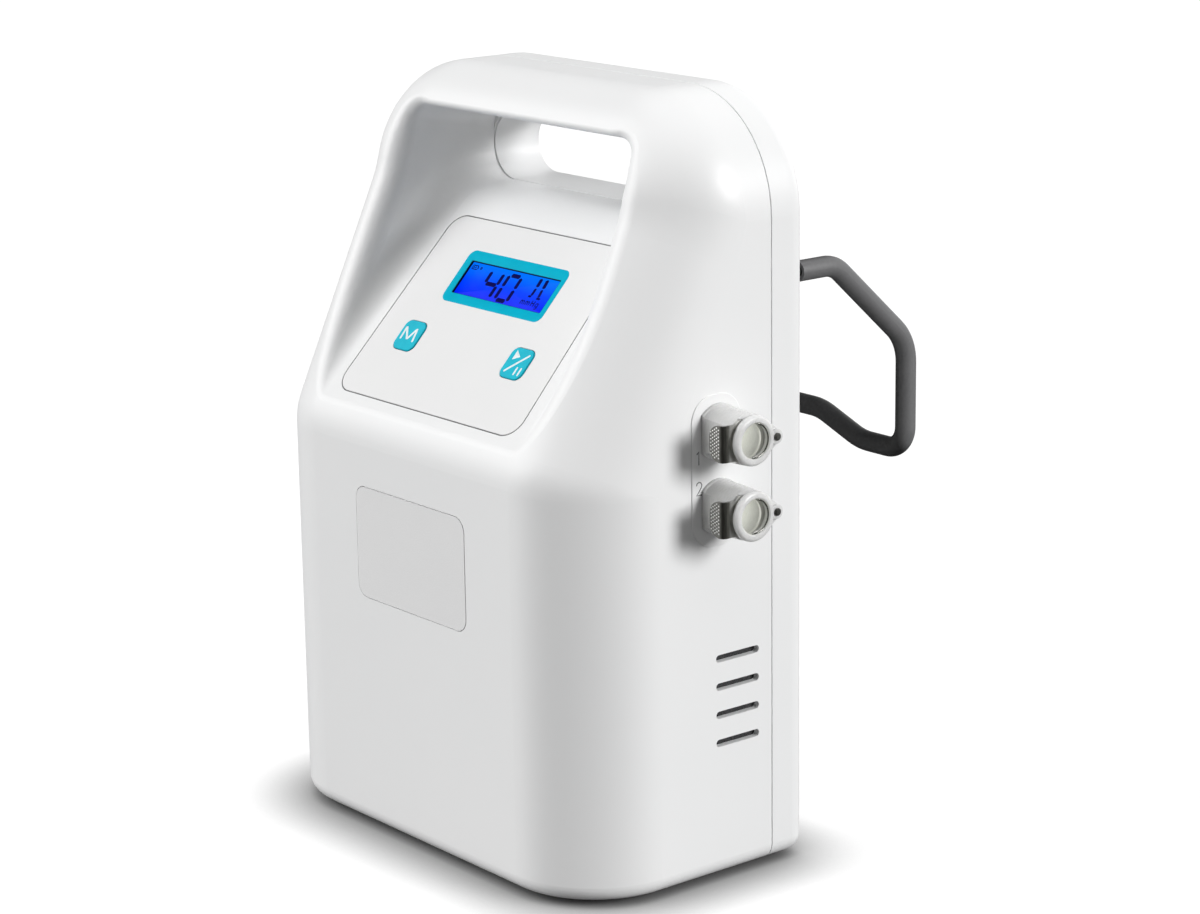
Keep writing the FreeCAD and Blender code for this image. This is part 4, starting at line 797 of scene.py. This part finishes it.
def latch_leaf(number, finish):
    """Bow spring behind a thumb tab.  Its line lies on the body's flat and stands off it by a
    raised cosine, up to where the pressed tab comes; a thin rounded section is carried along it,
    square to its slope, and closed to a point at both ends."""
    share = np.pad(np.linspace(0, 1, 33), 1, mode="edge")[:, None]
    rise = BOW_RISE * (1 - np.cos(2 * math.pi * share)) / 2
    slope = BOW_RISE * math.pi / BOW_LONG * np.sin(2 * math.pi * share)
    steep = np.sqrt(1 + slope ** 2)
    closed = np.ones(len(share))
    closed[[0, -1]] = 0.0
    section = rounded_loop(LEAF_THICK / 2, LEAF_WIDE / 2, LEAF_EDGE, arc=4)
    across, up = closed[:, None] * section[:, 0], closed[:, None] * section[:, 1]
    x = BOW_FROM_X + BOW_LONG * share - slope / steep * across
    y = LATCH_FLAT_Y - LEAF_THICK / 2 - rise - 1 / steep * across
    z = PORT_Z[number - 1] + up
    bow = np.stack((x, y, z), axis=-1) * MM
    made = make_piece("latch_%d_leaf" % number, [bow], "housing", finish)
    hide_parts("latch_%d_spring" % number)


MOUTH_WIRE_R = 5.88        # of the wire's centre line
MOUTH_WIRE_RADIUS = 0.30     # radius of the wire
MOUTH_WIRE_DEEP = 0.65     # behind the ring's face
MOUTH_WIRE_FROM = 78.0     # degrees round from the back, upwards
MOUTH_WIRE_TO = -105.0


def bore_mouth_wire(number, finish):
    """Dark wire just inside a coupling's mouth: an open ring.  Its centre line is an arc of a
    circle round the bore's axis; the wire round it is a circle whose radius is held along the arc
    and eased to nothing by a quarter circle at both ends."""
    share = np.linspace(0, 1, 61)
    turn = np.radians(MOUTH_WIRE_FROM + (MOUTH_WIRE_TO - MOUTH_WIRE_FROM) * share)
    along = share * MOUTH_WIRE_R * math.radians(MOUTH_WIRE_FROM - MOUTH_WIRE_TO)
    to_end = np.clip(np.minimum(along, along[-1] - along) / (2 * MOUTH_WIRE_RADIUS), 0, 1)
    wire = MOUTH_WIRE_RADIUS * np.sqrt(1 - (1 - to_end) ** 2)
    round_wire = np.linspace(0, 2 * math.pi, 13)[:-1]
    radius = MOUTH_WIRE_R + wire[:, None] * np.cos(round_wire)
    x = RING_FACE_X - MOUTH_WIRE_DEEP + wire[:, None] * np.sin(round_wire)
    y = PORT_Y + radius * np.cos(turn)[:, None]
    z = PORT_Z[number - 1] + radius * np.sin(turn)[:, None]
    ring = np.stack((x, y, z), axis=-1) * MM
    make_piece("coupling_%d_retainer" % number, [ring], "housing", finish)


def tapered_loop(growth):
    """Centres and outward directions round the panel film's outline.  Each corner is an arc about
    a centre one radius inside both of its sides, from one side's direction to the next; the left
    half is the right one mirrored."""
    lean = math.atan((FILM_FOOT_HALF - FILM_TOP_HALF) / FILM_LONG)
    radius = FILM_CORNER + growth
    rows = []
    for v, first, last in ((-growth + radius, -math.pi / 2, lean),
                           (FILM_LONG + growth - radius, lean, math.pi / 2)):
        side = FILM_FOOT_HALF + growth - math.tan(lean) * (v + growth)
        angle = np.linspace(first, last, 13)
        centre = np.array((side - radius / math.cos(lean), v))
        rows.append(np.column_stack((centre + radius * np.column_stack((np.cos(angle),
                                                                        np.sin(angle))), angle)))
    right = np.concatenate(rows)
    left = right[::-1] * np.array((-1, 1, -1)) + np.array((0, 0, math.pi))
    loop = np.concatenate((right, left))
    return loop[:, :2], np.column_stack((np.cos(loop[:, 2]), np.sin(loop[:, 2])))


# a dark bead that paints the groove's shade
SHADE_BEAD_OUT = 0.25          # middle of the bead, outside the film's edge
SHADE_BEAD_R = 0.235
SHADE_BEAD_LEVEL = -0.33


def groove_shade_bead(finish):
    """Dark bead in the groove round the panel film, standing as painted shade for it: a circle
    carried round the outline, half a groove outside the film, sunk so that its crown stays just
    under the film's face."""
    centre, outward = tapered_loop(SHADE_BEAD_OUT)
    turn = np.linspace(0, 2 * math.pi, 11)[:-1]
    flat = centre[:, None, :] + outward[:, None, :] * (SHADE_BEAD_R * np.cos(turn))[None, :, None]
    level = np.broadcast_to(SHADE_BEAD_LEVEL + SHADE_BEAD_R * np.sin(turn), flat.shape[:2])
    bead = np.concatenate((flat, level[..., None]), axis=-1)
    make_piece("panel_film_groove_shade", [onto_panel(bead)], "housing", finish,
               wrap_rows=True)


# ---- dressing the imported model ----
def dress(finish, *nodes):
    """One finish in place of whatever the named solids carried."""
    for name in nodes:
        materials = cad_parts[name].data.materials
        materials.clear()
        materials.append(finish)


def dress_all():
    """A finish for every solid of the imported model, from the case inwards."""
    dress(case_finish(), "front_housing", "rear_housing")
    dress(badge_finish(), "badge_plate")
    dress(panel_film_finish(), "control_overlay")
    dress(window_ink_finish(), "lcd_window")
    dress(key_ink_finish(), "mode_key", "start_key")
    dress(port_plate_finish(), "port_plate")
    dress(coupling_finish(1), "coupling_1_body")
    dress(coupling_finish(2), "coupling_2_body")
    dress(latch_finish(), "latch_1_plate", "latch_2_plate")
    dress(brushed("pin_dark_steel", (0.16, 0.16, 0.15), (0.07, 0.07, 0.065), rough=(0.3, 0.5),
                  stretch=(500, 3000, 3000)), "latch_pins")
    dress(brushed("screw_zinc_steel", (0.50, 0.50, 0.49), (0.33, 0.33, 0.32),
                  stretch=(2500, 200, 2500)),
          "case_screws", "board_screws", "bracket_screws", "chassis_screws")
    dress(brushed("nickel_plate", (0.66, 0.64, 0.60), (0.50, 0.48, 0.45), rough=(0.2, 0.34)),
          "coupling_nuts", "inlet_nut", "solenoid_valves")
    dress(brushed("motor_can_steel", (0.46, 0.46, 0.46), (0.32, 0.32, 0.32),
                  stretch=(40, 900, 900)), "pump_motor")
    dress(brushed("hook_black_enamel", (0.030, 0.030, 0.032), (0.018, 0.018, 0.02),
                  rough=(0.3, 0.45), stretch=(700, 700, 700)), "hook_rod")
    dress(sleeve_finish(), "hook_sleeve")
    dress(moulded("bracket_grey_nylon", (0.20, 0.205, 0.21), (0.165, 0.17, 0.175),
                  rough=(0.42, 0.55), grain=1500.0, patch=60.0), "hook_brackets")
    dress(moulded("black_rubber_feet", (0.018, 0.018, 0.018), (0.010, 0.010, 0.010),
                  rough=(0.6, 0.8), grain=1100.0, deep=0.00008, strength=0.4, patch=80.0),
          "rubber_feet", "coupling_washers")
    dress(moulded("soft_grommet_rubber", (0.09, 0.09, 0.09), (0.06, 0.06, 0.06), rough=(0.6, 0.75),
                  grain=900.0, deep=0.00006, strength=0.3, patch=90.0), "pump_grommets")
    dress(foam_finish(), "vent_filter")
    dress(moulded("black_nylon", (0.020, 0.020, 0.021), (0.013, 0.013, 0.014), rough=(0.35, 0.5),
                  grain=1500.0, patch=70.0),
          "switch_body", "power_rocker", "power_inlet", "key_switches", "buzzer",
          "pressure_sensor")
    dress(moulded("grey_nylon", (0.36, 0.365, 0.37), (0.30, 0.305, 0.31), rough=(0.45, 0.6),
                  grain=1200.0, patch=40.0),
          "chassis_plate", "pump_cradle", "pump_head", "valve_manifold")
    dress(moulded("display_module_frame", (0.035, 0.036, 0.038), (0.025, 0.026, 0.028),
                  rough=(0.35, 0.5), grain=2000.0, patch=90.0), "lcd_module")
    dress(board_finish(), "control_board", "main_board")
    dress(wrap_finish(), "battery_pack")
    dress(hose_finish(), "feed_hose", "port_1_hose", "port_2_hose")


def add_pieces():
    """The pieces that the solids leave out, and the leaf springs' finish on the solid ones too."""
    display_window(window_ink_finish())
    # the opening's wall, near black as painted shade
    display_opening_wall(opening_shade_finish())
    display_glass(backlight_finish())
    display_figures(segment_finish())
    key_signs(white_ink_finish())
    port_figures(grey_ink_finish())
    # a dark bead as painted shade in the groove round the film
    groove_shade_bead(groove_shade_finish())
    # the pips' lighter copy of the tab's stainless is a painted highlight
    pips = brushed("pip_painted_highlight_stainless", (0.80, 0.80, 0.78), (0.62, 0.62, 0.60))
    wire = brushed("mouth_dark_wire", (0.30, 0.30, 0.28), (0.14, 0.14, 0.13),
                   rough=(0.15, 0.25))
    leaf = brushed("leaf_spring_stainless", (0.60, 0.59, 0.57), (0.40, 0.39, 0.37))
    dress(leaf, "latch_1_spring", "latch_2_spring")
    for number in (1, 2):
        thumb_pips(number, pips)
        latch_leaf(number, leaf)
        bore_mouth_wire(number, wire)


# ---- studio ----
CAMERA_LENS = 97.503
CAMERA_SENSOR = 36
CAMERA_TURNS = (51.01, -14.33, -0.83)            # yaw, pitch and roll in degrees
CAMERA_PLACE = (0.89875, -0.69286, 0.42741)      # metres

# name, the way it shines, how many degrees wide it looks, and its strength
SOFT_LIGHTS = (("right_behind", (-1.0, -0.44, -0.42), 24, 2.95),
               ("front_left", (0.75, 1.0, -0.62), 50, 3.0),
               ("behind", (0.25, -1.0, -0.35), 60, 0.9),
               ("overhead", (-0.1, 0.05, -1.0), 70, 0.5))
SURROUNDINGS = 0.13      # strength of the light from all round
PAPER_WIDE = 8           # metres
PAPER_GLOW = 0.88
PAPER_SHADE_REACH = 0.026        # metres over which the pump hides the sky from the paper


def place_camera():
    """The camera looks along its yaw and pitch; right is level, up is square to both, and the
    roll turns right and up about the way it looks."""
    camera = bpy.data.cameras.new("camera")
    camera.lens = CAMERA_LENS
    camera.sensor_width = CAMERA_SENSOR
    camera.clip_end = 20
    eye = bpy.data.objects.new("camera", camera)
    bpy.context.scene.collection.objects.link(eye)
    yaw, pitch, roll = (math.radians(turn) for turn in CAMERA_TURNS)
    forward = Vector((-math.sin(yaw) * math.cos(pitch), math.cos(yaw) * math.cos(pitch),
                      math.sin(pitch)))
    right = Vector((forward.y, -forward.x, 0)).normalized()
    up = right.cross(forward)
    level = right * math.cos(roll) + up * math.sin(roll)
    above = up * math.cos(roll) - right * math.sin(roll)
    x, y, z = CAMERA_PLACE
    eye.matrix_world = Matrix((
        (level.x, above.x, -forward.x, x),
        (level.y, above.y, -forward.y, y),
        (level.z, above.z, -forward.z, z),
        (0, 0, 0, 1)))
    bpy.context.scene.camera = eye


def soft_sky(name, toward, width_degrees, strength):
    """A light so broad and far off that it falls evenly everywhere; toward is its direction."""
    lamp = bpy.data.lights.new(name, "SUN")
    lamp.angle = math.radians(width_degrees)
    lamp.energy = strength
    stand = bpy.data.objects.new(name, lamp)
    stand.rotation_euler = Vector(toward).to_track_quat("-Z", "Y").to_euler()
    bpy.context.scene.collection.objects.link(stand)


def paper_finish():
    """White paper: a faint drift of shade, and a glow that only direct sight of it gets, so it
    reads white without throwing light back up at the pump.  The glow fades where the pump stands
    over the paper, by the square of how open the sky is there."""
    made = Finish("paper_floor", Roughness=0.95, Specular_IOR_Level=0.1)
    made.colour(made.shades(made.noise(3.0), ((0.3, (0.15, 0.15, 0.15)),
                                              (0.7, (0.16, 0.16, 0.16)))))
    path = made.add("ShaderNodeLightPath")
    made.shader.inputs["Emission Color"].default_value = (1, 1, 1, 1)
    sky = made.add("ShaderNodeAmbientOcclusion")
    sky.inputs["Distance"].default_value = PAPER_SHADE_REACH
    glow = made.sums("MULTIPLY", made.sums("POWER", sky.outputs["AO"], 2.0), PAPER_GLOW)
    made.join(made.sums("MULTIPLY", path.outputs["Is Camera Ray"], glow),
              made.shader.inputs["Emission Strength"])
    return made.material


def build_studio():
    """White surroundings, a pale floor, broad lights from the front left, from behind and
    overhead, and a firmer one from behind on the right."""
    scene = bpy.context.scene
    scene.view_settings.view_transform = "Standard"
    world = bpy.data.worlds.new("studio")
    world.use_nodes = True
    tree = world.node_tree
    around = tree.nodes["Background"]
    around.inputs["Color"].default_value = (1, 1, 1, 1)
    around.inputs["Strength"].default_value = SURROUNDINGS
    seen = tree.nodes.new("ShaderNodeBackground")
    seen.inputs["Color"].default_value = (1, 1, 1, 1)
    seen.inputs["Strength"].default_value = 1.0
    pick = tree.nodes.new("ShaderNodeMixShader")
    path = tree.nodes.new("ShaderNodeLightPath")
    tree.links.new(path.outputs["Is Camera Ray"], pick.inputs["Fac"])
    tree.links.new(around.outputs[0], pick.inputs[1])
    tree.links.new(seen.outputs[0], pick.inputs[2])
    tree.links.new(pick.outputs[0], tree.nodes["World Output"].inputs["Surface"])
    scene.world = world

    bpy.ops.mesh.primitive_plane_add(size=PAPER_WIDE)
    floor = bpy.context.object
    floor.name = "floor"
    floor.data.materials.append(paper_finish())
    for light in SOFT_LIGHTS:
        soft_sky(*light)


dress_all()
add_pieces()
place_camera()
build_studio()
